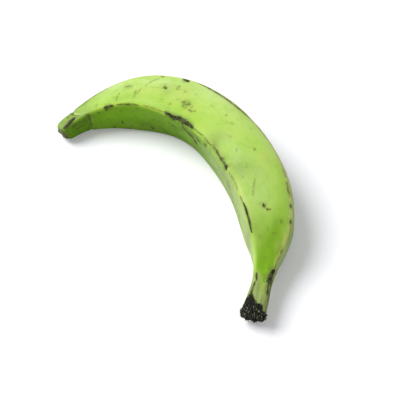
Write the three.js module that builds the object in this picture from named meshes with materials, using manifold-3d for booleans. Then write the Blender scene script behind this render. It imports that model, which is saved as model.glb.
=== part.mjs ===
// A green plantain, picked and whole, lying on its side on a flat surface. Millimetres, +Z up.
// It grew as one piece, so it is one solid: a spindle, turned on its axis, that is given a
// rounded four-sided section and then bent along the fruit's curved centre line.
// The curve opens towards -Y and -X. The stem end points to -Y, the blossom end to -X.
// Origin: the centre of the bounding box, at the level of the surface that the fruit lies on.
import * as THREE from "three";
import { mergeVertices } from "three/addons/utils/BufferGeometryUtils.js";
import Module from "manifold-3d";

// Driving dimensions. A table's rows are [distance from the stem end, value].
const LENGTH = 285; // along the centre line, from stem end to blossom end

// Direction in which the centre line runs, in degrees from +X towards +Y.
const HEADING = [[0, 72], [40, 80], [80, 98], [120, 115], [160, 129], [200, 157], [240, 190], [LENGTH, 225]];

// Half width: a flared torn stem end, a narrow neck, a full belly and a narrow beak.
const NECK = [[0, 7.9], [12, 7.4], [24, 6.6], [36, 8.1], [48, 11.9], [62, 16.4]];
const BELLY = [[80, 19.2], [110, 20.7], [150, 20.6], [190, 18.9], [225, 16.1]];
const BEAK = [[250, 11.3], [268, 7.9], [278, 7.4], [LENGTH, 6.8]];
const HALF_WIDTH = [...NECK, ...BELLY, ...BEAK];

// Turn of the section about the centre line, in degrees.
const TWIST = [[0, -4], [70, -6], [140, 4], [200, 9], [240, -2], [LENGTH, -9]];

// Section: four nearly flat faces that run into each other over rounded ridges. An angle is
// measured from the outside of the bend, up over the top. A reach is a share of the half width.
const FACES = [
  { angle: 0, reach: 1 },
  { angle: 76, reach: 0.9 },
  { angle: 180, reach: 0.9 },
  { angle: 284, reach: 0.9 },
];
const RIDGE_SHARPNESS = 5;

// Towards each end the section grows rounder: how far in that starts, and how round it gets.
const STEM_ROUNDS = { from: 60, share: 0.65 };
const BLOSSOM_ROUNDS = { from: 45, share: 0.5 };
const CIRCLE_REACH = 0.97;

// Ends: how deep the rounding runs in, and the share of the half width that stays flat.
const STEM_END = { depth: 2, flat: 0.8 };
const BLOSSOM_END = { depth: 4.5, flat: 0.45 };

// Rest: the side that comes to lie underneath, and how deep the contact patch is pressed flat.
const LEAN = 11; // degrees towards the inside of the bend
const LEAN_TOWARDS = 214; // degrees from +X towards +Y
const PRESSED_FLAT = 0.6;

// Mesh steps.
const RING_STEP = 5.5;
const END_STEPS = 4;
const SIDES = 38;
const MARGIN = 50; // how far the cutting block reaches past the fruit

const PEEL_COLOUR = 0x9ccc4a;

const { clamp, degToRad, lerp, smoothstep } = THREE.MathUtils;

/** A smooth curve through the rows of a table, as a function of the distance. */
function smoothTable(rows) {
  const slope = rows.slice(1).map(([x, v], i) => (v - rows[i][1]) / (x - rows[i][0]));
  const tangent = rows.map((_, i) => {
    if (i === 0 || i === rows.length - 1) return slope[Math.min(i, slope.length - 1)];
    const before = rows[i][0] - rows[i - 1][0];
    const after = rows[i + 1][0] - rows[i][0];
    return (slope[i - 1] * after + slope[i] * before) / (before + after);
  });
  return (x) => {
    const found = rows.findIndex(([start]) => start > x);
    const i = (found < 1 ? rows.length - 1 : found) - 1;
    const step = rows[i + 1][0] - rows[i][0];
    const t = (x - rows[i][0]) / step;
    const rise = t * t * (3 - 2 * t);
    const leave = t * (1 - t) * (1 - t) * step * tangent[i];
    const arrive = t * t * (1 - t) * step * tangent[i + 1];
    return rows[i][1] * (1 - rise) + rows[i + 1][1] * rise + leave - arrive;
  };
}

const headingAt = smoothTable(HEADING);
const halfWidthAt = smoothTable(HALF_WIDTH);
const twistAt = smoothTable(TWIST);

/** The centre line, in the level plane of the bend: one point for each millimetre. */
function centreLine() {
  const points = [new THREE.Vector3()];
  for (let distance = 0; distance < LENGTH; distance += 1) {
    const heading = degToRad(headingAt(distance + 0.5));
    const step = new THREE.Vector3(Math.cos(heading), Math.sin(heading), 0);
    points.push(points[distance].clone().add(step));
  }
  return points;
}

/** How round the section is at a distance from the stem end: 0 is four-sided and 1 is a circle. */
function roundnessAt(distance) {
  const nearStem = 1 - smoothstep(distance, 0, STEM_ROUNDS.from);
  const nearBlossom = smoothstep(distance, LENGTH - BLOSSOM_ROUNDS.from, LENGTH);
  return STEM_ROUNDS.share * nearStem + BLOSSOM_ROUNDS.share * nearBlossom;
}

/** How far the skin is from the centre line at an angle, as a share of the half width. */
function sectionReach(angle, distance) {
  const facing = (face) => Math.max(0, Math.cos(angle - degToRad(face.angle)));
  const sum = FACES.reduce((total, face) => total + (facing(face) / face.reach) ** RIDGE_SHARPNESS, 0);
  return lerp(sum ** (-1 / RIDGE_SHARPNESS), CIRCLE_REACH, roundnessAt(distance));
}

/** Profile points of one rounded end, from the axis outwards, running in from that end. */
function endProfile({ depth, flat }, end, inwards) {
  const points = [new THREE.Vector2(0, end)];
  for (let k = 0; k < END_STEPS; k += 1) {
    const turn = (k / END_STEPS) * (Math.PI / 2);
    const distance = end + inwards * depth * (1 - Math.cos(turn));
    const share = flat + (1 - flat) * Math.sin(turn);
    points.push(new THREE.Vector2(share * halfWidthAt(distance), distance));
  }
  return points;
}

/** The straight spindle: round in section, closed on its axis at both ends, along +Y. */
function spindle() {
  const profile = endProfile(STEM_END, 0, 1);
  const run = LENGTH - STEM_END.depth - BLOSSOM_END.depth;
  const rings = Math.round(run / RING_STEP);
  for (let i = 0; i <= rings; i += 1) {
    const distance = STEM_END.depth + (run * i) / rings;
    profile.push(new THREE.Vector2(halfWidthAt(distance), distance));
  }
  profile.push(...endProfile(BLOSSOM_END, LENGTH, -1).reverse());
  return onlyPositions(new THREE.LatheGeometry(profile, SIDES));
}

/** A geometry's shape alone, with the vertices that share a place made one. */
function onlyPositions(geometry) {
  geometry.deleteAttribute("normal");
  geometry.deleteAttribute("uv");
  return mergeVertices(geometry, 1e-4);
}

/** Gives the spindle its four-sided section and its twist, and bends it along the centre line. */
function bendAlongCentreLine(geometry) {
  const line = centreLine();
  const place = geometry.getAttribute("position");
  for (let i = 0; i < place.count; i += 1) {
    const distance = clamp(place.getY(i), 0, LENGTH);
    const round = Math.hypot(place.getX(i), place.getZ(i));
    const angle = Math.atan2(-place.getX(i), place.getZ(i));
    const reach = round * sectionReach(angle, distance);
    const turned = angle + degToRad(twistAt(distance));
    const heading = degToRad(headingAt(distance));
    const outwards = new THREE.Vector3(Math.sin(heading), -Math.cos(heading), 0);
    const before = Math.min(Math.floor(distance), LENGTH - 1);
    const point = line[before].clone().lerp(line[before + 1], distance - before);
    point.addScaledVector(outwards, reach * Math.cos(turned));
    point.z += reach * Math.sin(turned);
    place.setXYZ(i, point.x, point.y, point.z);
  }
  return geometry;
}

/** Leans the fruit over on to the side that it rests on, with its lowest point just under z = 0. */
function layDown(geometry) {
  const lean = degToRad(LEAN);
  const towards = degToRad(LEAN_TOWARDS);
  const sideways = Math.sin(lean);
  const underside = new THREE.Vector3(
    sideways * Math.cos(towards),
    sideways * Math.sin(towards),
    -Math.cos(lean),
  );
  const down = new THREE.Vector3(0, 0, -1);
  geometry.applyQuaternion(new THREE.Quaternion().setFromUnitVectors(underside, down));
  geometry.computeBoundingBox();
  const { min, max } = geometry.boundingBox;
  return geometry.translate(-(min.x + max.x) / 2, -(min.y + max.y) / 2, -min.z - PRESSED_FLAT);
}

const wasm = await Module();
wasm.setup();

/** A closed geometry as a solid that can be cut. */
function solidOf(geometry) {
  const vertProperties = new Float32Array(geometry.getAttribute("position").array);
  const triVerts = new Uint32Array(geometry.index.array);
  return new wasm.Manifold(new wasm.Mesh({ numProp: 3, vertProperties, triVerts }));
}

/** A solid as a three.js geometry. */
function geometryOf(solid) {
  const { vertProperties, triVerts } = solid.getMesh();
  const geometry = new THREE.BufferGeometry();
  geometry.setAttribute("position", new THREE.BufferAttribute(vertProperties, 3));
  geometry.setIndex(new THREE.BufferAttribute(triVerts, 1));
  geometry.computeVertexNormals();
  return geometry;
}

/** Takes away what reaches below z = 0, which leaves the flat patch that the fruit rests on. */
function pressFlat(geometry) {
  const under = onlyPositions(new THREE.BoxGeometry(LENGTH + MARGIN, LENGTH + MARGIN, MARGIN));
  under.translate(0, 0, -MARGIN / 2);
  return geometryOf(solidOf(geometry).subtract(solidOf(under)));
}

const peel = new THREE.MeshStandardMaterial({ color: PEEL_COLOUR, roughness: 0.5, metalness: 0 });
const plantain = new THREE.Mesh(pressFlat(layDown(bendAlongCentreLine(spindle()))), peel);
plantain.name = "plantain";

const fruit = new THREE.Group();
fruit.add(plantain);

export default fruit;
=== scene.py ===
"""The looks of a whole green plantain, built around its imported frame, in metres.

The fruit is a spindle with a rounded four-sided section, bent along a level centre line, which
then leans over on to the side that it rests on. Every place on it is given by its distance from
the stem end along the centre line, in millimetres, and its angle round the section, in degrees,
from the outside of the bend up over the top.
"""

import logging
import math
from dataclasses import dataclass
from enum import Enum
from functools import cached_property
from typing import Any, ClassVar, Optional, Sequence

import bpy
import numpy as np
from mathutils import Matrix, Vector


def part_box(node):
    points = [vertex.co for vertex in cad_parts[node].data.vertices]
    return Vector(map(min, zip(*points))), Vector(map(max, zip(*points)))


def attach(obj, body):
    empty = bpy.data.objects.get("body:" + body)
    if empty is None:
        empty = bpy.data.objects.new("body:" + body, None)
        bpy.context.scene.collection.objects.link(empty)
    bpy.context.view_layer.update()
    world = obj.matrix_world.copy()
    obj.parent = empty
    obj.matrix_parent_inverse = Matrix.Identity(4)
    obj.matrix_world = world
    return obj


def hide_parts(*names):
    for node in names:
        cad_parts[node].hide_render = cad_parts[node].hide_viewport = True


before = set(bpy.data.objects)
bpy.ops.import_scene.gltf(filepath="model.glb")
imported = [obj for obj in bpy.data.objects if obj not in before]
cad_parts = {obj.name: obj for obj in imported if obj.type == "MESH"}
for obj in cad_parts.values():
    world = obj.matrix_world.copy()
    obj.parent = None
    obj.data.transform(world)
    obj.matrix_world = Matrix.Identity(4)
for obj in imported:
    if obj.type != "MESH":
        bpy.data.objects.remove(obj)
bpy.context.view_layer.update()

CAD_NODE = "plantain"
BODY = "root"
MM = 0.001
FULL_TURN = 2 * math.pi

Table = tuple[tuple[float, float], ...]
Rows = tuple[tuple, ...]
Rings = tuple[np.ndarray, np.ndarray]
Colour = tuple[float, float, float]

log = logging.getLogger("plantain")


# ---------------------------------------------------------------- numbers


def smooth_table(rows: Table, x: np.ndarray) -> np.ndarray:
    """Read a smooth curve through the rows of a table.

    Args:
        rows: pairs of distance and value, in order of distance.
        x: the distances to read the curve at.

    Returns:
        The values at those distances.
    """
    at, value = (np.array(column, float) for column in zip(*rows))
    step = np.diff(at)
    slope = np.diff(value) / step
    tangent = np.empty(len(at))
    tangent[[0, -1]] = slope[[0, -1]]
    tangent[1:-1] = (slope[:-1] * step[1:] + slope[1:] * step[:-1]) / (step[1:] + step[:-1])
    i = np.clip(np.searchsorted(at, x, side="right") - 1, 0, len(at) - 2)
    t = (x - at[i]) / step[i]
    rise = t * t * (3 - 2 * t)
    leave = t * (1 - t) ** 2 * step[i] * tangent[i]
    arrive = t * t * (1 - t) * step[i] * tangent[i + 1]
    return value[i] * (1 - rise) + value[i + 1] * rise + leave - arrive


def smoothstep(x: np.ndarray, low: float, high: float) -> np.ndarray:
    """A share that rises smoothly from 0 at low to 1 at high."""
    t = np.clip((x - low) / (high - low), 0, 1)
    return t * t * (3 - 2 * t)


def band(x: np.ndarray, rise: tuple[float, float], fall: tuple[float, float]) -> np.ndarray:
    """A share that rises smoothly from 0 to 1 over one range and falls back over another."""
    return smoothstep(x, *rise) * (1 - smoothstep(x, *fall))


def turned_from(degrees: np.ndarray, start: float) -> np.ndarray:
    """The signed turn from one angle to others, from -180 to 180 degrees."""
    return np.mod(degrees - start + 180, 360) - 180


def bell(x: np.ndarray, width: float) -> np.ndarray:
    """A bell curve of height 1 about zero."""
    return np.exp(-((x / width) ** 2))


def lattice_value(cell: np.ndarray, seed: int) -> np.ndarray:
    """A fixed random number from -1 to 1 for each whole-numbered cell."""
    mixed = cell @ np.array([127.1, 311.7, 74.7]) + seed * 53.3
    return 2 * np.modf(np.abs(np.sin(mixed)) * 43758.5453)[0] - 1


def noise(points: np.ndarray, size: float, seed: int, octaves: int = 1) -> np.ndarray:
    """Smooth random relief.

    Args:
        points: places, one per row.
        size: distance from one bump to the next, in the units of the places.
        seed: picks the pattern.
        octaves: how many finer copies are added, each at half the size and half the height.

    Returns:
        A value for each place, mostly between -1 and 1.
    """
    total = np.zeros(len(points))
    for octave in range(octaves):
        scaled = points * 2**octave / size
        cell = np.floor(scaled)
        part = scaled - cell
        part = part * part * (3 - 2 * part)
        for corner in np.ndindex(2, 2, 2):
            offset = np.array(corner)
            weight = np.prod(np.where(offset, part, 1 - part), axis=1)
            total += weight * lattice_value(cell + offset, seed + octave) / 2**octave
    return total


# ---------------------------------------------------------------- form


class Ridge(Enum):
    """The four lengthwise ridges, by their angle round the section in degrees."""

    OUTER_UPPER = 34.0
    INNER_UPPER = 128.0
    INNER_LOWER = 232.0
    OUTER_LOWER = 326.0


@dataclass(frozen=True)
class Face:
    """One nearly flat side of the section."""

    angle: float
    reach: float


@dataclass(frozen=True)
class BluntEnd:
    """How an end closes.

    Depth is how far back the rounding runs, and flat is the share of the width that stays flat.
    From rounds_from back, the section turns rounder, up to rounds_share at the end itself.
    """

    depth: float
    flat: float
    rounds_from: float
    rounds_share: float


@dataclass(frozen=True)
class FruitForm:
    """The fruit's shape and place. Lengths are in millimetres and angles in degrees."""

    length: float = 285.0
    heading: Table = (
        (0, 72), (40, 80), (80, 98), (120, 115), (160, 129), (200, 157), (240, 190), (285, 225),
    )
    half_width: Table = (
        (0, 7.9), (12, 7.4), (24, 6.6), (36, 8.1), (48, 11.9), (62, 16.4), (80, 19.2), (110, 20.7),
        (150, 20.6), (190, 18.9), (225, 16.1), (250, 11.3), (268, 7.9), (278, 7.4), (285, 6.8),
    )
    twist: Table = ((0, -4), (70, -6), (140, 4), (200, 9), (240, -2), (285, -9))
    faces: tuple[Face, ...] = (Face(0, 1), Face(76, 0.9), Face(180, 0.9), Face(284, 0.9))
    ridge_sharpness: float = 5.0
    circle_reach: float = 0.97
    stem_end: BluntEnd = BluntEnd(depth=2.0, flat=0.8, rounds_from=60, rounds_share=0.65)
    blossom_end: BluntEnd = BluntEnd(depth=4.5, flat=0.45, rounds_from=45, rounds_share=0.5)
    lean: float = 11.0
    lean_towards: float = 214.0
    pressed_flat: float = 0.6

    @cached_property
    def centre_line(self) -> np.ndarray:
        """The level centre line before the lean: one point for each millimetre."""
        heading = np.radians(smooth_table(self.heading, np.arange(self.length) + 0.5))
        steps = np.stack([np.cos(heading), np.sin(heading), np.zeros_like(heading)], axis=1)
        return np.vstack([np.zeros(3), np.cumsum(steps, axis=0)])

    @cached_property
    def lean_matrix(self) -> np.ndarray:
        """The turn that brings the resting side underneath."""
        lean, towards = math.radians(self.lean), math.radians(self.lean_towards)
        flat_part = math.sin(lean)
        under = Vector((flat_part * math.cos(towards), flat_part * math.sin(towards), -math.cos(lean)))
        return np.array(under.rotation_difference(Vector((0, 0, -1))).to_matrix())

    @cached_property
    def shift(self) -> np.ndarray:
        """What moves the leaning fruit into the frame's box, in millimetres."""
        along, share = self.rings(2.0, 4)
        angle = np.linspace(0, FULL_TURN, 180, endpoint=False)
        grid = np.repeat(along, len(angle)), np.tile(angle, len(along))
        places = self.level(*grid, self.skin(*grid) * np.repeat(share, len(angle))) @ self.lean_matrix.T
        low, high = places.min(axis=0), places.max(axis=0)
        box_low, box_high = (np.array(corner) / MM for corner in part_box(CAD_NODE))
        wanted = (box_low + box_high) / 2
        return np.array([*(wanted - (low + high) / 2)[:2], box_low[2] - self.pressed_flat - low[2]])

    def end_rings(self, shape: BluntEnd, turn_steps: int, face_rings: int = 1) -> Rings:
        """Where the section rings of one blunt end stand.

        Args:
            shape: how the end closes.
            turn_steps: rings in the rounding.
            face_rings: rings between the end face's middle and the rounding.

        Returns:
            The rings' distances back from the end, and the share of the skin that each reaches.
        """
        turn = np.linspace(0, math.pi / 2, turn_steps, endpoint=False)
        middle = np.linspace(0, shape.flat, face_rings, endpoint=False)
        back = np.r_[np.zeros(face_rings), shape.depth * (1 - np.cos(turn))]
        return back, np.r_[middle, shape.flat + (1 - shape.flat) * np.sin(turn)]

    def rings(self, step: float, turn_steps: int, face_rings: int = 1) -> Rings:
        """Where the section rings stand, from the middle of one end face to that of the other.

        Args:
            step: distance between rings along the body.
            turn_steps: rings in the rounding at each end.
            face_rings: rings between an end face's middle and its rounding.

        Returns:
            The rings' distances from the stem end, and the share of the skin that each reaches.
        """
        stem_back, stem_share = self.end_rings(self.stem_end, turn_steps, face_rings)
        tip_back, tip_share = self.end_rings(self.blossom_end, turn_steps, face_rings)
        first, last = self.stem_end.depth, self.length - self.blossom_end.depth
        body = np.linspace(first, last, round((last - first) / step) + 1)
        along = np.r_[stem_back, body, (self.length - tip_back)[::-1]]
        return along, np.r_[stem_share, np.ones(len(body)), tip_share[::-1]]

    def roundness(self, along: np.ndarray) -> np.ndarray:
        """How round the section is.

        Args:
            along: distances from the stem end.

        Returns:
            0 where it is four-sided, up to 1 for a circle.
        """
        stem, blossom = self.stem_end, self.blossom_end
        near_stem = 1 - smoothstep(along, 0, stem.rounds_from)
        near_blossom = smoothstep(along, self.length - blossom.rounds_from, self.length)
        return stem.rounds_share * near_stem + blossom.rounds_share * near_blossom

    def reach(self, along: np.ndarray, angle: np.ndarray) -> np.ndarray:
        """How far the skin is from the centre line.

        Args:
            along: distances from the stem end.
            angle: angles round the section, in radians.

        Returns:
            The reach at each place, as a share of the half width.
        """
        total = sum(
            (np.maximum(0, np.cos(angle - math.radians(face.angle))) / face.reach) ** self.ridge_sharpness
            for face in self.faces
        )
        four_sided = total ** (-1 / self.ridge_sharpness)
        roundness = self.roundness(along)
        return four_sided * (1 - roundness) + self.circle_reach * roundness

    def skin(self, along: np.ndarray, angle: np.ndarray) -> np.ndarray:
        """Distance from the centre line to the skin, in millimetres."""
        return smooth_table(self.half_width, along) * self.reach(along, angle)

    def level_axes(self, along: np.ndarray) -> tuple[np.ndarray, np.ndarray]:
        """The centre line's frame before the lean.

        Args:
            along: distances from the stem end.

        Returns:
            The centre-line points there, and the directions to the outside of the bend.
        """
        marks = np.arange(len(self.centre_line))
        centre = np.stack([np.interp(along, marks, axis) for axis in self.centre_line.T], axis=1)
        heading = np.radians(smooth_table(self.heading, along))
        outwards = np.stack([np.sin(heading), -np.cos(heading), np.zeros_like(heading)], axis=1)
        return centre, outwards

    def level(self, along: np.ndarray, angle: np.ndarray, radius: np.ndarray) -> np.ndarray:
        """Places round the centre line before the lean.

        Args:
            along: distances from the stem end.
            angle: angles round the section, in radians.
            radius: distances from the centre line.

        Returns:
            The places in millimetres, one per row.
        """
        centre, outwards = self.level_axes(along)
        turned = angle + np.radians(smooth_table(self.twist, along))
        places = centre + (radius * np.cos(turned))[:, None] * outwards
        places[:, 2] += radius * np.sin(turned)
        return places

    def place(self, along: np.ndarray, angle: np.ndarray, radius: np.ndarray) -> np.ndarray:
        """Places at a distance from the centre line, in the frame, in metres."""
        return (self.level(along, angle, radius) @ self.lean_matrix.T + self.shift) * MM

    def leaning(self, directions: np.ndarray) -> np.ndarray:
        """Directions of the level fruit as they are after the lean."""
        return directions @ self.lean_matrix.T


# ---------------------------------------------------------------- meshes


class Domain(Enum):
    """What an attribute holds for each vertex, as Blender names it."""

    NUMBER = "FLOAT"
    VECTOR = "FLOAT_VECTOR"


def write_attribute(mesh: bpy.types.Mesh, name: str, values: np.ndarray) -> None:
    """Give each vertex of a mesh a number or a vector.

    Args:
        mesh: the mesh.
        name: the attribute's name.
        values: one number per vertex, or one row of three.
    """
    kind = Domain.VECTOR if values.ndim == 2 else Domain.NUMBER
    layer = mesh.attributes.get(name) or mesh.attributes.new(name, kind.value, "POINT")
    slot = "vector" if kind is Domain.VECTOR else "value"
    layer.data.foreach_set(slot, values.astype(np.float32).ravel())


def read_attribute(mesh: bpy.types.Mesh, name: str) -> np.ndarray:
    """Read what a mesh's vertices hold.

    Args:
        mesh: the mesh.
        name: the attribute's name.

    Returns:
        One number per vertex, or one row of three.
    """
    layer = mesh.attributes[name]
    wide = layer.data_type == Domain.VECTOR.value
    found = np.empty(len(mesh.vertices) * (3 if wide else 1), np.float32)
    layer.data.foreach_get("vector" if wide else "value", found)
    return found.astype(float).reshape(-1, 3) if wide else found.astype(float)


def vertex_places(mesh: bpy.types.Mesh) -> np.ndarray:
    """Where a mesh's vertices are, one per row.

    Args:
        mesh: the mesh.

    Returns:
        The places in metres.
    """
    found = np.empty(len(mesh.vertices) * 3, np.float32)
    mesh.vertices.foreach_get("co", found)
    return found.astype(float).reshape(-1, 3)


def move_vertices(mesh: bpy.types.Mesh, places: np.ndarray, lowest: float = 0.0) -> None:
    """Put a mesh's vertices in new places.

    Args:
        mesh: the mesh.
        places: the new places in metres, one per row.
        lowest: no vertex ends below this height over the ground.
    """
    places[:, 2] = np.maximum(places[:, 2], lowest)
    mesh.vertices.foreach_set("co", places.astype(np.float32).ravel())
    mesh.update()


def place_in_scene(made: bpy.types.Object) -> bpy.types.Object:
    """Link an object into the scene."""
    bpy.context.scene.collection.objects.link(made)
    return made


def new_object(
    name: str, places: Sequence, edges: Sequence = (), faces: Sequence = ()
) -> bpy.types.Object:
    """A mesh object in the scene, at the origin.

    Args:
        name: the object's name.
        places: vertex places in metres.
        edges: pairs of vertex numbers.
        faces: rings of vertex numbers.

    Returns:
        The new object.
    """
    mesh = bpy.data.meshes.new(name)
    mesh.from_pydata([tuple(place) for place in places], edges, faces)
    return place_in_scene(bpy.data.objects.new(name, mesh))


def settled(made: bpy.types.Object) -> bpy.types.Object:
    """Turn what an object's modifiers make into its plain mesh, and drop the modifiers.

    Args:
        made: the object.

    Returns:
        The same object.
    """
    bpy.context.view_layer.update()
    evaluated = made.evaluated_get(bpy.context.evaluated_depsgraph_get())
    result = bpy.data.meshes.new_from_object(evaluated)
    result.name = made.name
    made.modifiers.clear()
    made.data = result
    return made


# ---------------------------------------------------------------- node trees


class Socket(Enum):
    """The kinds of socket on a node group, as Blender names them."""

    GEOMETRY = "NodeSocketGeometry"
    MATERIAL = "NodeSocketMaterial"
    VECTOR = "NodeSocketVector"
    NUMBER = "NodeSocketFloat"
    WHOLE_NUMBER = "NodeSocketInt"
    TEXT = "NodeSocketString"


SOCKET_OF = {float: Socket.NUMBER, int: Socket.WHOLE_NUMBER, str: Socket.TEXT}


class Effect(Enum):
    """The shader groups that the finishes share."""

    MOTTLE = "Mottle"
    SPECKLE = "Speckle"
    STREAKS = "Lengthwise Streaks"
    BROKEN_EDGE = "Broken Edge"


class Bench:
    """Puts nodes into one node tree and joins their sockets."""

    TREE: ClassVar[str]
    RESULT: ClassVar[tuple[str, Socket]]

    def __init__(self, tree: bpy.types.NodeTree) -> None:
        """Start with an empty tree."""
        self.tree = tree
        tree.nodes.clear()

    @classmethod
    def open(cls, name: str, inputs: dict[str, Any]) -> tuple[Any, Any, bpy.types.Node]:
        """Start a node group that puts out one thing.

        Args:
            name: the group's name.
            inputs: for each input, its default value, or its kind where it has none.

        Returns:
            The bench, the group's inputs and its output node.
        """
        tree = bpy.data.node_groups.new(name, cls.TREE)
        for label, value in inputs.items():
            kind = value if isinstance(value, Socket) else SOCKET_OF[type(value)]
            socket = tree.interface.new_socket(label, in_out="INPUT", socket_type=kind.value)
            if kind is not value:
                socket.default_value = value
        label, kind = cls.RESULT
        tree.interface.new_socket(label, in_out="OUTPUT", socket_type=kind.value)
        bench = cls(tree)
        return bench, bench.add("NodeGroupInput").outputs, bench.add("NodeGroupOutput")

    def feed(self, node: bpy.types.Node, feeds: dict) -> None:
        """Set or drive some of a node's inputs.

        Args:
            node: the node.
            feeds: for each input, by name or number, a value or the output that drives it.
        """
        for key, value in feeds.items():
            if isinstance(value, bpy.types.NodeSocket):
                self.tree.links.new(value, node.inputs[key])
            else:
                node.inputs[key].default_value = value

    def add(self, kind: str, feeds: Optional[dict] = None, **settings: Any) -> bpy.types.Node:
        """Add a node.

        Args:
            kind: the node's type.
            feeds: its inputs, as feed takes them.
            settings: properties of the node itself.

        Returns:
            The new node.
        """
        node = self.tree.nodes.new(kind)
        for name, value in settings.items():
            setattr(node, name, value)
        self.feed(node, feeds or {})
        return node

    def maths(self, operation: str, a: Any, b: Any = 0.0, c: Any = 0.0) -> bpy.types.NodeSocket:
        """One step of arithmetic on numbers."""
        return self.add("ShaderNodeMath", {0: a, 1: b, 2: c}, operation=operation).outputs[0]

    def times(self, a: Any, b: Any) -> bpy.types.NodeSocket:
        """One number times another."""
        return self.maths("MULTIPLY", a, b)

    def plus(self, a: Any, b: Any) -> bpy.types.NodeSocket:
        """Two numbers added."""
        return self.maths("ADD", a, b)

    def minus(self, a: Any, b: Any) -> bpy.types.NodeSocket:
        """One number less another."""
        return self.maths("SUBTRACT", a, b)

    def over(self, a: Any, b: Any) -> bpy.types.NodeSocket:
        """One number divided by another."""
        return self.maths("DIVIDE", a, b)

    def times_plus(self, a: Any, b: Any, c: Any) -> bpy.types.NodeSocket:
        """One number times another, plus a third."""
        return self.maths("MULTIPLY_ADD", a, b, c)


class ShaderBench(Bench):
    """A bench for shader trees, with the small steps and shared effects that the finishes use."""

    TREE = "ShaderNodeTree"
    RESULT = ("Value", Socket.NUMBER)

    def attribute(self, name: str, vector: bool = False) -> bpy.types.NodeSocket:
        """What the mesh holds under a name."""
        node = self.add("ShaderNodeAttribute", attribute_name=name)
        return node.outputs["Vector" if vector else "Fac"]

    def ramp(self, value: Any, low: Any, high: Any, to_low: float = 0.0, to_high: float = 1.0) -> Any:
        """A smooth step of a value, from one number at low to another at high."""
        feeds = {"Value": value, "From Min": low, "From Max": high, "To Min": to_low, "To Max": to_high}
        return self.add("ShaderNodeMapRange", feeds, interpolation_type="SMOOTHSTEP").outputs["Result"]

    def mix(self, share: Any, a: Any, b: Any) -> bpy.types.NodeSocket:
        """Lay a share of one colour over another.

        Args:
            share: how much of the second colour shows.
            a: the colour below, or the output that gives it.
            b: the colour on top, or the output that gives it.

        Returns:
            The mixed colour.
        """
        node = self.add("ShaderNodeMix", {"Factor": share}, data_type="RGBA")
        for number, colour in ((6, a), (7, b)):
            self.feed(node, {number: (*colour, 1.0) if isinstance(colour, tuple) else colour})
        return node.outputs[2]

    def layered(self, colour: Any, *layers: tuple[Any, Any]) -> Any:
        """Lay shares of other colours over one, in order.

        Args:
            colour: the colour below.
            layers: for each layer, its share and its colour.

        Returns:
            The colour that shows.
        """
        for share, above in layers:
            colour = self.mix(share, colour, above)
        return colour

    def noise(self, vector: Any, scale: Any, detail: Any = 2.0, rough: float = 0.5) -> Any:
        """Cloudy noise, about 0.5 in the middle."""
        feeds = {"Vector": vector, "Scale": scale, "Detail": detail, "Roughness": rough}
        return self.add("ShaderNodeTexNoise", feeds).outputs["Fac"]

    def stretched(self, vector: Any, factors: Any, offset: Sequence[float] = (0, 0, 0)) -> Any:
        """A vector scaled by its own factor along each axis, then moved."""
        feeds = {"Vector": vector, "Scale": factors, "Location": offset}
        return self.add("ShaderNodeMapping", feeds).outputs["Vector"]

    def bump(self, height: Any) -> bpy.types.NodeSocket:
        """The normal of a skin with a height in millimetres on it."""
        return self.add("ShaderNodeBump", {"Strength": 1.0, "Distance": MM, "Height": height}).outputs[0]

    def effect(self, effect: Effect, **feeds: Any) -> bpy.types.NodeSocket:
        """What a shared effect puts out, with its inputs given by name."""
        return self.add("ShaderNodeGroup", feeds, node_tree=bpy.data.node_groups[effect.value]).outputs[0]

    def mottle(self, vector: Any, size: float, detail: float) -> bpy.types.NodeSocket:
        """Cloudy patches, from 0 to 1."""
        return self.effect(Effect.MOTTLE, Vector=vector, Size=size, Detail=detail)

    def speckle(self, vector: Any, spacing: float, radius: float, share: float) -> bpy.types.NodeSocket:
        """Scattered round spots, from 0 to 1."""
        return self.effect(Effect.SPECKLE, Vector=vector, Spacing=spacing, Radius=radius, Share=share)

    def streaks(self, vector: Any, width: float, length: float) -> bpy.types.NodeSocket:
        """Fine lines along the fruit, from 0 to 1."""
        return self.effect(Effect.STREAKS, Vector=vector, Width=width, Length=length)

    def broken_edge(self, gap: Any, vector: Any, **shape: float) -> bpy.types.NodeSocket:
        """A mask with a broken edge. Its Grain, Ragged and Softness are given by name."""
        return self.effect(Effect.BROKEN_EDGE, Gap=gap, Vector=vector, **shape)


def run_tree(made: bpy.types.Object, tree: bpy.types.NodeTree, **values: Any) -> bpy.types.Object:
    """Run a geometry tree on an object and keep the result as its plain mesh.

    Args:
        made: the object that the tree starts from.
        tree: the geometry tree.
        values: the tree's inputs by name.

    Returns:
        The same object with its new mesh.
    """
    modifier = made.modifiers.new(tree.name, "NODES")
    modifier.node_group = tree
    inputs = [item for item in tree.interface.items_tree if item.in_out == "INPUT"]
    identifiers = {item.name: item.identifier for item in inputs}
    for name, value in values.items():
        modifier[identifiers[name]] = value
    return settled(made)


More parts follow.
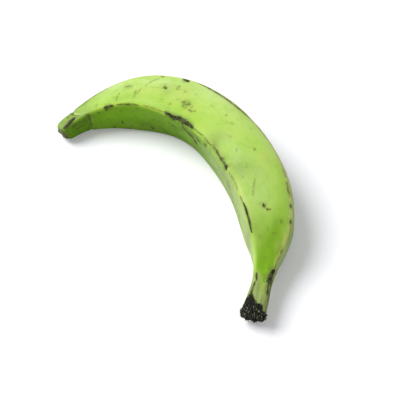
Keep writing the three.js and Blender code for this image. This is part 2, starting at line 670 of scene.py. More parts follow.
class GeometryBench(Bench):
    """A bench for geometry trees."""

    TREE = "GeometryNodeTree"
    RESULT = ("Geometry", Socket.GEOMETRY)

    def vector(self, operation: str, a: Any, b: Any = (0, 0, 0)) -> bpy.types.NodeSocket:
        """One step of arithmetic on vectors."""
        return self.add("ShaderNodeVectorMath", {0: a, 1: b}, operation=operation).outputs[0]

    def scaled(self, vector: Any, factor: Any) -> bpy.types.NodeSocket:
        """A vector times a number."""
        feeds = {0: vector, "Scale": factor}
        return self.add("ShaderNodeVectorMath", feeds, operation="SCALE").outputs[0]

    def named(self, name: Any, domain: Domain = Domain.NUMBER) -> bpy.types.NodeSocket:
        """What the geometry holds under a name."""
        node = self.add("GeometryNodeInputNamedAttribute", {"Name": name}, data_type=domain.value)
        return node.outputs["Attribute"]

    def random_number(self, low: Any, high: Any, seed: Any) -> bpy.types.NodeSocket:
        """A random number for each point, from its place in the list and a seed."""
        node = self.add("FunctionNodeRandomValue", {2: low, 3: high, "Seed": seed}, data_type="FLOAT")
        return node.outputs[1]

    def random_vector(self, low: Any, high: Any, seed: Any) -> bpy.types.NodeSocket:
        """A random vector for each point, from its place in the list and a seed."""
        feeds = {0: low, 1: high, "Seed": seed}
        return self.add("FunctionNodeRandomValue", feeds, data_type="FLOAT_VECTOR").outputs[0]

    def strewn(self, given: Any) -> Any:
        """Points on a surface, never closer than a spacing, only where its attribute allows.

        Args:
            given: the group's inputs, among them Geometry, Where, Spacing and Seed.

        Returns:
            The outputs Points, Normal and Rotation.
        """
        area = self.times(given["Spacing"], given["Spacing"])
        feeds = {
            "Mesh": given["Geometry"],
            "Distance Min": given["Spacing"],
            "Density Max": self.over(3.0, area),
            "Density Factor": self.named(given["Where"]),
            "Seed": given["Seed"],
        }
        return self.add("GeometryNodeDistributePointsOnFaces", feeds, distribute_method="POISSON").outputs

    def finish(self, geometry: Any, material: Any, output: bpy.types.Node) -> None:
        """End the tree with real geometry, smooth and in its material.

        Args:
            geometry: the output that gives the shape.
            material: the output that gives the material.
            output: the group's output node.
        """
        smooth = self.add("GeometryNodeSetShadeSmooth", {"Geometry": geometry})
        real = self.add("GeometryNodeRealizeInstances", {"Geometry": smooth.outputs[0]})
        dressed = self.add("GeometryNodeSetMaterial", {"Geometry": real.outputs[0], "Material": material})
        self.feed(output, {"Geometry": dressed.outputs[0]})


def swept_body_tree(form: FruitForm) -> bpy.types.NodeTree:
    """The tree that sweeps the four-sided section along a centre line.

    The line's points hold their place, half width, twist, roundness and two axes. The tree makes a
    ring of sides round each point, moves each corner out to the skin, and closes the two ends.

    Args:
        form: gives the faces of the section.

    Returns:
        The geometry tree.
    """
    inputs = {
        "Geometry": Socket.GEOMETRY,
        "Sides": 48,
        "Ridge Sharpness": form.ridge_sharpness,
        "Circle Reach": form.circle_reach,
        "Weld": 1e-6,
        "Material": Socket.MATERIAL,
    }
    bench, given, output = GeometryBench.open("Swept Fruit Body", inputs)

    spine = bench.add("GeometryNodeMeshToCurve", {"Mesh": given["Geometry"]}).outputs[0]
    circle = bench.add("GeometryNodeCurvePrimitiveCircle", {"Resolution": given["Sides"]}).outputs[0]
    along_circle = bench.add("GeometryNodeSplineParameter").outputs["Factor"]
    marked = bench.add(
        "GeometryNodeStoreNamedAttribute",
        {"Geometry": circle, "Name": "turn", "Value": along_circle},
    ).outputs[0]
    tube = bench.add("GeometryNodeCurveToMesh", {"Curve": spine, "Profile Curve": marked}).outputs[0]

    angle = bench.times(bench.named("turn"), FULL_TURN)
    total: Any = 0.0
    for face in form.faces:
        facing = bench.maths("COSINE", bench.minus(angle, math.radians(face.angle)))
        share = bench.over(bench.maths("MAXIMUM", facing, 0.0), face.reach)
        total = bench.plus(total, bench.maths("POWER", share, given["Ridge Sharpness"]))
    root = bench.over(-1.0, given["Ridge Sharpness"])
    four_sided = bench.maths("POWER", total, root)
    rounder = bench.minus(given["Circle Reach"], four_sided)
    reach = bench.times_plus(rounder, bench.named("roundness"), four_sided)
    radius = bench.times(reach, bench.named("half_width"))

    turned = bench.plus(angle, bench.named("twist"))
    out_part = bench.times(radius, bench.maths("COSINE", turned))
    up_part = bench.times(radius, bench.maths("SINE", turned))
    sideways = bench.scaled(bench.named("outwards", Domain.VECTOR), out_part)
    upwards = bench.scaled(bench.named("upwards", Domain.VECTOR), up_part)
    off_centre = bench.vector("ADD", sideways, upwards)
    place = bench.vector("ADD", bench.named("centre", Domain.VECTOR), off_centre)
    shaped = bench.add("GeometryNodeSetPosition", {"Geometry": tube, "Position": place}).outputs[0]
    closed = bench.add("GeometryNodeMergeByDistance", {"Geometry": shaped, "Distance": given["Weld"]})
    outwards = bench.add("GeometryNodeFlipFaces", {"Mesh": closed.outputs[0]}).outputs[0]
    bench.finish(outwards, given["Material"], output)
    return bench.tree


class Sweeper:
    """Sweeps the fruit's section along its centre line, for the peel and for the crusts on it."""

    APART = 1e-7  # keeps the rings of an end face, which share one centre, in order

    def __init__(self, form: FruitForm) -> None:
        """Build the tree once for all the pieces."""
        self.form = form
        self.tree = swept_body_tree(form)

    def sweep(self, name: str, along: np.ndarray, share: np.ndarray, sides: int, material: Any) -> Any:
        """Make a closed body from section rings.

        Args:
            name: the object's name.
            along: the rings' distances from the stem end.
            share: the share of the skin that each ring reaches.
            sides: corners in each ring.
            material: what the body is made of.

        Returns:
            The object. Its vertices hold along, turn, share and profile, which is the share of the
            whole way along the surface from the first ring to the last.
        """
        form = self.form
        centre, outwards = form.level_axes(along)
        width = smooth_table(form.half_width, along) * share
        places = (form.leaning(centre) + form.shift) * MM
        apart = np.arange(len(along))[:, None] * np.array([0, 0, self.APART])
        piece = new_object(name, places + apart, edges=[(i, i + 1) for i in range(len(along) - 1)])
        steps = np.hypot(np.diff(along), np.diff(width))
        profile = np.r_[0, np.cumsum(steps)] / steps.sum()
        held = {
            "centre": places,
            "outwards": form.leaning(outwards),
            "upwards": form.leaning(np.tile([0.0, 0.0, 1.0], (len(along), 1))),
            "half_width": width * MM,
            "twist": np.radians(smooth_table(form.twist, along)),
            "roundness": form.roundness(along),
            "along": along,
            "share": share,
            "profile": profile,
        }
        for label, values in held.items():
            write_attribute(piece.data, label, values)
        run_tree(piece, self.tree, Sides=sides, Material=material)
        for label in set(held) - {"along", "share", "profile"}:
            piece.data.attributes.remove(piece.data.attributes[label])
        return piece


@dataclass
class Surface:
    """The vertices of a swept body, ready to be moved and marked."""

    piece: bpy.types.Object
    form: FruitForm

    def __post_init__(self) -> None:
        """Read what the sweep left on the vertices."""
        mesh = self.piece.data
        self.along = read_attribute(mesh, "along")
        self.angle = read_attribute(mesh, "turn") * FULL_TURN
        self.degrees = np.degrees(self.angle)
        self.radius = self.form.skin(self.along, self.angle) * read_attribute(mesh, "share")
        across = self.radius * np.cos(self.angle), self.radius * np.sin(self.angle)
        self.straight = np.stack([self.along, *across], axis=1)

    def arc(self, degrees: float) -> np.ndarray:
        """Signed distance round the skin from an angle, in millimetres."""
        return np.radians(turned_from(self.degrees, degrees)) * self.radius

    def normals(self) -> np.ndarray:
        """The direction that each vertex faces, one per row."""
        found = np.empty(len(self.along) * 3, np.float32)
        self.piece.data.vertex_normals.foreach_get("vector", found)
        return found.astype(float).reshape(-1, 3)

    def raise_by(self, height: np.ndarray) -> None:
        """Move the vertices outwards, but not into the ground.

        Args:
            height: how far each one moves, in millimetres.
        """
        places = vertex_places(self.piece.data) + self.normals() * height[:, None] * MM
        move_vertices(self.piece.data, places)

    def hold(self, **values: np.ndarray) -> None:
        """Write numbers or vectors for the finishes to read."""
        for name, array in values.items():
            write_attribute(self.piece.data, name, array)

    def unroll(self) -> None:
        """Lay the surface out flat in a UV map: lengthwise across it, and once round up it."""
        mesh = self.piece.data
        corners = np.empty(len(mesh.loops), np.int32)
        mesh.loops.foreach_get("vertex_index", corners)
        sizes = np.empty(len(mesh.polygons), np.int32)
        mesh.polygons.foreach_get("loop_total", sizes)
        starts = np.r_[0, np.cumsum(sizes)[:-1]]
        turn = read_attribute(mesh, "turn")[corners]
        wraps = np.maximum.reduceat(turn, starts) - np.minimum.reduceat(turn, starts) > 0.5
        turn += np.repeat(wraps, sizes) * (turn < 0.5)
        across = read_attribute(mesh, "profile")[corners]
        pole = np.isin(across, (0, 1))
        others = np.add.reduceat(np.where(pole, 0, turn), starts) / np.maximum(1, sizes - 1)
        turn = np.where(pole, np.repeat(others, sizes), turn)
        flat = mesh.uv_layers.new(name="OFBake")
        flat.data.foreach_set("uv", np.stack([across, turn], axis=1).astype(np.float32).ravel())


# ---------------------------------------------------------------- marks


@dataclass(frozen=True)
class Mark:
    """A scar on the skin.

    Its path is a line of places, each a distance along in millimetres and an angle in degrees. Its
    half width is in millimetres. Dark is 1 for a black scab and near 0 for a faint scratch.
    """

    path: Table
    width: float
    dark: float = 1.0
    taper: float = 0.45


def mark(width: float, dark: float, *places: tuple[float, float]) -> Mark:
    """A scar from a row of a table.

    Args:
        width: its half width in millimetres.
        dark: how dark it is, up to 1.
        places: the places that it runs through. One place alone makes a dot.

    Returns:
        A long mark, narrower at its ends, or a dot, which is as wide at its ends.
    """
    if len(places) > 1:
        return Mark(places, width, dark)
    along, degrees = places[0]
    half = 0.4 * width
    return Mark(((along - half, degrees), (along + half, degrees)), width, dark, taper=1.0)


# The rows of these tables are what mark() takes.
INNER_RIDGE_MARKS: Rows = (
    (0.62, 0.9, (53, 127), (60, 126), (68, 126.5), (75, 128)),
    (0.5, 0.45, (75, 128.5), (81, 129.5)),
    (0.55, 0.4, (86, 129.5), (93, 128.5), (103, 129)),
    (1.2, 1, (107.5, 130), (109, 128), (111.5, 128)),
    (1.0, 0.7, (111, 128), (115, 127), (120, 127.5)),
    (0.75, 0.65, (120, 127), (127, 126), (131, 126.5)),
    (0.5, 0.5, (131, 126.5), (138, 126.5), (145, 126), (158, 127)),
    (0.5, 0.3, (128, 124), (133, 123)),
    (1.3, 1, (157, 127), (163, 126.5), (170, 127), (179, 127.5)),
    (0.8, 0.6, (163, 124), (168, 123.5)),
    (1.3, 1, (176, 128.5), (181, 130), (186, 129)),
    (0.5, 0.5, (190, 131), (185, 134), (180, 133)),
    (0.6, 0.5, (175, 132), (172, 133), (168, 131.5)),
    (0.8, 0.85, (184, 128), (192, 128)),
    (0.45, 0.4, (192, 128.5), (204, 128.5), (214, 129)),
    (0.55, 0.62, (219, 130.5), (228, 131), (238, 131)),
    (1.1, 0.72, (242, 131.5), (246, 131.5), (249, 131)),
    (0.7, 0.7, (247, 133), (248.3, 141)),
)

OUTER_RIDGE_MARKS: Rows = (
    (0.7, 0.35, (40, 33), (46, 33)),
    (0.9, 0.7, (63, 34)),
    (0.9, 0.65, (73, 36)),
    (0.8, 0.5, (79, 37), (84, 37.5), (89, 37)),
    (0.6, 0.35, (92, 36), (98, 35)),
    (0.5, 0.4, (122, 32), (132, 31), (142, 31)),
    (0.62, 0.72, (141, 31), (149, 35), (157, 36.5), (166, 37), (175, 36.5), (184, 34)),
    (1.2, 1, (190, 41), (192.5, 38), (194, 36)),
    (0.9, 0.5, (207, 37), (208, 42)),
    (0.5, 0.35, (218, 34), (236, 35)),
    (0.8, 0.6, (240, 38), (247, 40), (256, 45), (268, 50)),
)

TOP_MARKS: Rows = (
    (0.95, 0.75, (71.5, 96)),
    (0.5, 0.3, (72, 99), (72.5, 105)),
    (0.65, 0.65, (69.3, 82), (69, 88), (69, 92.5)),
    (0.5, 0.28, (79, 112), (86, 106), (93, 98)),
    (1.2, 0.35, (62, 56)),
    (0.4, 0.3, (54.3, 64), (54, 80)),
    (0.7, 0.22, (102, 105), (106, 99)),
    (0.9, 0.32, (115, 72), (116.5, 67)),
    (0.9, 0.3, (142, 73)),
    (0.7, 0.36, (150, 70), (151, 65)),
    (0.8, 0.3, (191, 112)),
    (0.6, 0.2, (118, 104), (121, 99)),
    (1.5, 0.5, (176, 97.5), (179, 98), (183, 99)),
    (0.9, 0.42, (168, 103), (170, 107), (174, 108)),
    (0.8, 0.38, (176, 109), (180, 106), (182, 102)),
    (0.5, 0.35, (173, 103), (173.5, 96)),
    (0.9, 0.25, (187.5, 97)),
    (1.0, 0.3, (186, 72), (188, 67)),
    (0.8, 0.55, (193, 72), (193.5, 66), (193.5, 59)),
    (0.85, 0.7, (200.6, 78), (202.2, 74), (203, 71)),
    (0.4, 0.2, (203, 79), (213, 79)),
    (0.5, 0.34, (218.5, 84), (220, 94), (221, 106)),
    (0.55, 0.45, (222.5, 93), (223.2, 103), (223, 114)),
    (0.5, 0.4, (235, 94), (237, 108), (238.5, 122)),
    (0.5, 0.36, (215, 67), (212.5, 57), (209, 48)),
    (0.4, 0.22, (216.5, 80), (215.6, 68)),
    (1.2, 0.45, (226, 77), (230, 74), (231, 71)),
    (1.0, 0.2, (262, 62), (258, 56)),
)

NECK_MARKS: Rows = (
    (0.42, 0.85, (27.2, 119.5), (24.5, 116), (21.5, 112)),
    (0.42, 0.75, (20.7, 116.5), (18.2, 118.7), (14.4, 120.4), (11, 121)),
    (0.36, 0.7, (18.7, 113.5), (15.5, 115), (11.5, 115.4)),
    (1.5, 1, (32, 32), (31, 40), (29.5, 44)),
    (1.6, 1, (30, 43), (27, 40), (24.4, 40), (21.6, 44)),
    (1.0, 0.75, (22, 44), (19.5, 46), (16.8, 42.5), (14, 38)),
    (0.42, 0.6, (31, 20), (27, 14), (22, 18), (17, 24)),
    (0.5, 0.5, (20, 50), (16, 46)),
    (0.45, 0.5, (33, 34), (38, 35), (43, 34), (48, 40)),
    (0.6, 0.5, (24, 20), (18, 22), (10, 25)),
    (0.6, 0.3, (27, 86), (23, 72), (21, 60)),
)

INNER_MARKS: Rows = (
    (0.85, 0.7, (170.5, 136.5), (168, 142), (165.5, 146.5)),
    (1.3, 0.8, (165, 147.5), (162.5, 149), (161, 147)),
    (1.0, 0.75, (160.8, 148), (159, 151.5), (158.8, 155)),
    (1.4, 0.8, (158, 156), (157, 160), (155.6, 167)),
    (0.5, 0.4, (155.5, 166), (152, 173)),
    (0.9, 0.65, (150.5, 138), (149.5, 141), (148, 144)),
    (0.5, 0.5, (163.5, 139), (158.5, 141), (154.5, 143)),
    (0.45, 0.4, (160, 135), (154, 135.5), (149, 134.5)),
    (0.8, 0.35, (190, 150), (183, 160), (177, 166)),
    (0.6, 0.4, (149, 170), (151, 158)),
    (0.7, 0.5, (172, 156), (175, 150), (176, 142)),
    (0.9, 0.5, (137, 133.5), (141, 136)),
    (1.0, 0.3, (78, 178)),
    (0.7, 0.3, (111.5, 196), (111.5, 188)),
    (0.8, 0.35, (131, 186), (132, 180)),
    (1.1, 0.5, (212, 216), (213, 207)),
    (0.9, 0.4, (222, 213), (221, 204)),
    (0.8, 0.5, (238.4, 208), (238, 197)),
    (0.6, 0.3, (236.5, 156), (236.5, 146)),
    (0.7, 0.25, (224, 178), (225, 166)),
    (0.6, 0.25, (207, 172), (207.5, 161)),
)

BEAK_MARKS: Rows = (
    (1.3, 0.95, (272, 110), (275, 114), (279, 122), (283, 120)),
    (0.5, 0.6, (275.5, 84), (275, 70), (275, 60)),
    (0.7, 0.8, (270.5, 76), (271, 66), (271.5, 56)),
    (0.9, 0.8, (271.5, 46), (271.5, 40)),
    (1.0, 0.6, (262, 133), (262.5, 139), (263, 146)),
    (0.6, 0.55, (263, 145), (262.5, 152), (262.5, 166)),
    (0.6, 0.5, (263, 172), (263, 188), (262.5, 206)),
    (0.6, 0.5, (274, 140), (277, 152)),
    (0.5, 0.35, (268, 176), (276, 172)),
    (0.5, 0.35, (281.5, 132), (282.5, 152), (282, 176)),
)

MARK_ROWS = INNER_RIDGE_MARKS + OUTER_RIDGE_MARKS + TOP_MARKS + NECK_MARKS + INNER_MARKS + BEAK_MARKS


@dataclass(frozen=True)
class Blotch:
    """A soft-edged patch of another colour.

    Its middle is a distance along in millimetres and an angle in degrees. Its size along is in
    millimetres, and its size across is that times the last number.
    """

    along: float
    degrees: float
    size: float
    strength: float
    across: float = 1.0


# The rows of these tables are the fields of a Blotch.
# Dull stains; the long narrow patches along the inner upper ridge, at about 127 degrees, are painted
# shade.
DULL_AND_SHADE_BLOTCHES: Rows = (
    (102, 162, 6, 0.3), (101, 150, 5, 0.18), (114, 150, 5, 0.2), (158, 158, 4, 0.45, 1.6),
    (166, 148, 5, 0.4), (145, 138, 6, 0.3, 0.6), (186, 169, 5, 0.3), (202, 166, 5, 0.35, 1.4),
    (181, 180, 7, 0.2), (118, 127, 5, 0.3, 0.5), (172, 126, 13, 0.45, 0.25),
    (133, 125, 8, 0.2, 0.4), (179, 99, 5, 0.22, 0.9), (50, 72, 4, 0.2, 1.3),
    (92, 127, 42, 0.3, 0.09), (131, 122.5, 4, 0.35, 0.6), (117, 123, 4, 0.35, 0.6),
    (263, 136, 4.5, 0.5, 0.8), (166, 138, 6, 0.3, 0.5), (152, 137, 5, 0.25, 0.5),
    (196, 127.5, 22, 0.22, 0.12), (271, 127, 8, 0.3, 0.5), (187, 72, 5, 0.12, 1.6),
    (250, 52, 7, 0.3, 0.6), (245, 132, 5, 0.4, 0.5), (230, 74, 4, 0.2), (152, 33, 9, 0.35, 0.35),
    (172, 32, 9, 0.3, 0.35), (216, 210, 9, 0.35, 0.7),
)

YELLOW_BLOTCHES: Rows = (
    (187, 86, 7, 0.5, 1.3), (172, 105, 5, 0.45), (108, 58, 5, 0.5), (87, 130, 6, 0.5, 0.4),
    (48, 38, 9, 0.4, 0.5), (150, 118, 8, 0.3, 0.6), (215, 95, 10, 0.3, 0.8), (132, 82, 9, 0.25),
    (70, 92, 4, 0.3), (205, 300, 12, 0.4), (120, 320, 14, 0.4), (75, 290, 10, 0.35),
    (160, 255, 12, 0.3), (240, 350, 9, 0.35),
)


def blotches_of(rows: Rows) -> tuple[Blotch, ...]:
    """The patches that a table lists."""
    return tuple(Blotch(*row) for row in rows)


@dataclass(frozen=True)
class StrayMarks:
    """Small scars strewn over one part of the skin, from a fixed seed.

    Lengths are in millimetres. Dots is the share of the scars that are dots, and dark is the range
    from the faintest to the darkest.
    """

    count: int
    blotch_count: int
    degrees: tuple[float, float]
    seed: int
    along: tuple[float, float] = (24.0, 262.0)
    longest: float = 13.0
    dots: float = 0.4
    dark: tuple[float, float] = (0.2, 0.8)

    def marks(self) -> tuple[Mark, ...]:
        """Make the scars: mostly short, thin and faint, a few long and dark.

        Returns:
            The scars.
        """
        random = np.random.default_rng(self.seed)
        made = []
        for _ in range(self.count):
            start = random.uniform(*self.along), random.uniform(*self.degrees)
            size = random.random() ** 2.2
            dark = self.dark[0] + (self.dark[1] - self.dark[0]) * random.random() ** 1.6
            if random.random() < self.dots:
                made.append(mark(0.35 + 0.7 * size, dark, start))
                continue
            length = 2 + (self.longest - 2) * size
            heading = random.normal(0, 0.55)
            end = start[0] + length * math.cos(heading), start[1] + 3.2 * length * math.sin(heading)
            middle = (start[0] + end[0]) / 2, (start[1] + end[1]) / 2 + random.normal(0, 1.5)
            made.append(mark(random.uniform(0.35, 0.75), dark, start, middle, end))
        return tuple(made)

    def blotches(self) -> tuple[Blotch, ...]:
        """Make the soft patches.

        Returns:
            The patches.
        """
        random = np.random.default_rng(self.seed + 1)
        return tuple(
            Blotch(
                random.uniform(*self.along),
                random.uniform(*self.degrees),
                random.uniform(3, 9),
                random.uniform(0.1, 0.4),
                random.uniform(0.4, 1.2),
            )
            for _ in range(self.blotch_count)
        )


STRAY_MARKS: tuple[StrayMarks, ...] = (
    StrayMarks(80, 26, (222, 384), seed=7),
    StrayMarks(46, 12, (138, 222), seed=17, longest=5, dots=0.65, dark=(0.15, 0.5)),
    StrayMarks(26, 10, (44, 120), seed=27, longest=5, dots=0.8, dark=(0.08, 0.3)),
)


class MarkField:
    """How each vertex of a surface lies to the mark that is nearest it."""

    REACH = 9.0
    NEAR = 1.6
    ALWAYS_NEAR = 3.5
    FARTHEST = 99.0

    def __init__(self, surface: Surface) -> None:
        """Start with no mark in reach."""
        self.surface = surface
        count = len(surface.along)
        self.gap = np.full(count, self.REACH)
        self.across = np.full(count, self.REACH)
        self.beyond = np.full(count, self.REACH)
        self.distance = np.full(count, self.FARTHEST)
        self.dark = np.zeros(count)

    def add(self, mark: Mark) -> None:
        """Take a mark into account.

        Across is the signed distance from its line and beyond is the distance past its ends, both
        as a share of its half width there. Signed numbers keep a thin line sharp between vertices.

        Args:
            mark: the mark to add.
        """
        surface = self.surface
        alongs = [place[0] for place in mark.path]
        near = (surface.along > min(alongs) - self.REACH) & (surface.along < max(alongs) + self.REACH)
        near = np.flatnonzero(near)
        here = surface.along[near]
        radius = np.maximum(2.0, surface.radius[near])
        points = np.array(mark.path, float)
        lengths = np.hypot(np.diff(points[:, 0]), np.radians(np.diff(points[:, 1])) * radius.mean())
        reached = np.r_[0, np.cumsum(lengths)] / max(lengths.sum(), 1e-9)
        best = np.full(len(near), 1e9)
        across = np.full(len(near), 1e9)
        beyond = np.zeros(len(near))
        share = np.zeros(len(near))
        for i, ((a0, d0), (a1, d1)) in enumerate(zip(points[:-1], points[1:])):
            x, y = here - a0, np.radians(turned_from(surface.degrees[near], d0)) * radius
            way = np.stack([np.full(len(near), a1 - a0), math.radians(d1 - d0) * radius])
            length = np.hypot(*way)
            way = way / length
            forward = x * way[0] + y * way[1]
            side = y * way[0] - x * way[1]
            past = np.maximum(0, np.maximum(-forward, forward - length))
            first, last = i == 0, i == len(points) - 2
            capped = np.where(forward < 0, first, last) | (past == 0)
            distance = np.hypot(side, past)
            closer = distance < best
            best = np.where(closer, distance, best)
            across = np.where(closer, np.where(capped, side, np.copysign(distance, side)), across)
            beyond = np.where(closer, np.where(capped, past, 0), beyond)
            part = reached[i] + np.clip(forward / length, 0, 1) * (reached[i + 1] - reached[i])
            share = np.where(closer, part, share)
        width = mark.width * (mark.taper + (1 - mark.taper) * np.sqrt(4 * share * (1 - share)))
        gap = np.hypot(across, beyond) / width
        nearer = gap < self.gap[near]
        chosen = near[nearer]
        self.gap[chosen] = gap[nearer]
        self.across[chosen] = (across / width)[nearer]
        self.beyond[chosen] = (beyond / width)[nearer]
        self.distance[chosen] = best[nearer]
        self.dark[chosen] = mark.dark

    def hold(self) -> None:
        """Write the field for the finish to read."""
        near = 1 - smoothstep(self.distance - 2 * self.NEAR, 0, self.NEAR)
        near = np.where(self.gap < self.ALWAYS_NEAR, 1.0, near)
        across = np.clip(self.across, -self.REACH, self.REACH)
        beyond = np.clip(self.beyond, 0, self.REACH)
        self.surface.hold(mark=np.stack([across, beyond, near], axis=1), mark_dark=self.dark)


# ---------------------------------------------------------------- shared effects


class Effects:
    """Builds the shader groups that the finishes share. Their vectors are in millimetres."""

    def build(self) -> None:
        """Build every group once."""
        self.mottle()
        self.speckle()
        self.streaks()
        self.broken_edge()

    def mottle(self) -> None:
        """Cloudy patches of a size, from 0 to 1, with the contrast spread over the whole range."""
        inputs = {"Vector": Socket.VECTOR, "Size": 10.0, "Detail": 3.0}
        bench, given, output = ShaderBench.open(Effect.MOTTLE.value, inputs)
        cloud = bench.noise(given["Vector"], bench.over(1.0, given["Size"]), given["Detail"])
        bench.feed(output, {"Value": bench.ramp(cloud, 0.3, 0.7)})

    def speckle(self) -> None:
        """Scattered round spots: a share of the cells of a spacing hold one, each of its own size."""
        inputs = {"Vector": Socket.VECTOR, "Spacing": 3.0, "Radius": 0.4, "Share": 0.4}
        bench, given, output = ShaderBench.open(Effect.SPECKLE.value, inputs)
        scale = bench.over(1.0, given["Spacing"])
        cells = bench.add("ShaderNodeTexVoronoi", {"Vector": given["Vector"], "Scale": scale})
        chance = bench.add("ShaderNodeSeparateColor", {"Color": cells.outputs["Color"]}).outputs
        held = bench.maths("LESS_THAN", chance["Red"], given["Share"])
        distance = bench.times(cells.outputs["Distance"], given["Spacing"])
        size = bench.times_plus(chance["Green"], 0.7, 0.3)
        gap = bench.over(distance, bench.times(size, given["Radius"]))
        spot = bench.ramp(gap, 0.6, 1.0, 1.0, 0.0)
        bench.feed(output, {"Value": bench.times(spot, held)})

    def streaks(self) -> None:
        """Fine lines along the fruit, from 0 to 1, of a width and a length."""
        inputs = {"Vector": Socket.VECTOR, "Width": 0.6, "Length": 30.0}
        bench, given, output = ShaderBench.open(Effect.STREAKS.value, inputs)
        along = bench.over(1.0, given["Length"])
        across = bench.over(1.0, given["Width"])
        scale = bench.add("ShaderNodeCombineXYZ", {"X": along, "Y": across, "Z": across}).outputs[0]
        vector = bench.stretched(given["Vector"], scale)
        bench.feed(output, {"Value": bench.ramp(bench.noise(vector, 1.0, 2.0, 0.6), 0.35, 0.68)})

    def broken_edge(self) -> None:
        """A mask that is 1 where a gap is under 1, with an edge that noise has eaten into."""
        inputs = {"Gap": 1.0, "Vector": Socket.VECTOR, "Grain": 1.0, "Ragged": 0.8, "Softness": 0.2}
        bench, given, output = ShaderBench.open(Effect.BROKEN_EDGE.value, inputs)
        grain = bench.noise(given["Vector"], bench.over(1.0, given["Grain"]), 4.0, 0.65)
        depth = bench.times(given["Ragged"], 2.0)
        moved = bench.times_plus(bench.minus(grain, 0.5), depth, given["Gap"])
        high = bench.plus(1.0, given["Softness"])
        low = bench.minus(1.0, given["Softness"])
        bench.feed(output, {"Value": bench.ramp(moved, low, high, 1.0, 0.0)})


# ---------------------------------------------------------------- finishes


def new_material(name: str) -> tuple[bpy.types.Material, ShaderBench, bpy.types.Node]:
    """A material with one Principled shader on its output.

    Args:
        name: the material's name.

    Returns:
        The material, a bench for its tree, and the shader.
    """
    material = bpy.data.materials.new(name)
    material.use_nodes = True
    bench = ShaderBench(material.node_tree)
    shader = bench.add("ShaderNodeBsdfPrincipled")
    bench.add("ShaderNodeOutputMaterial", {"Surface": shader.outputs["BSDF"]})
    return material, bench, shader


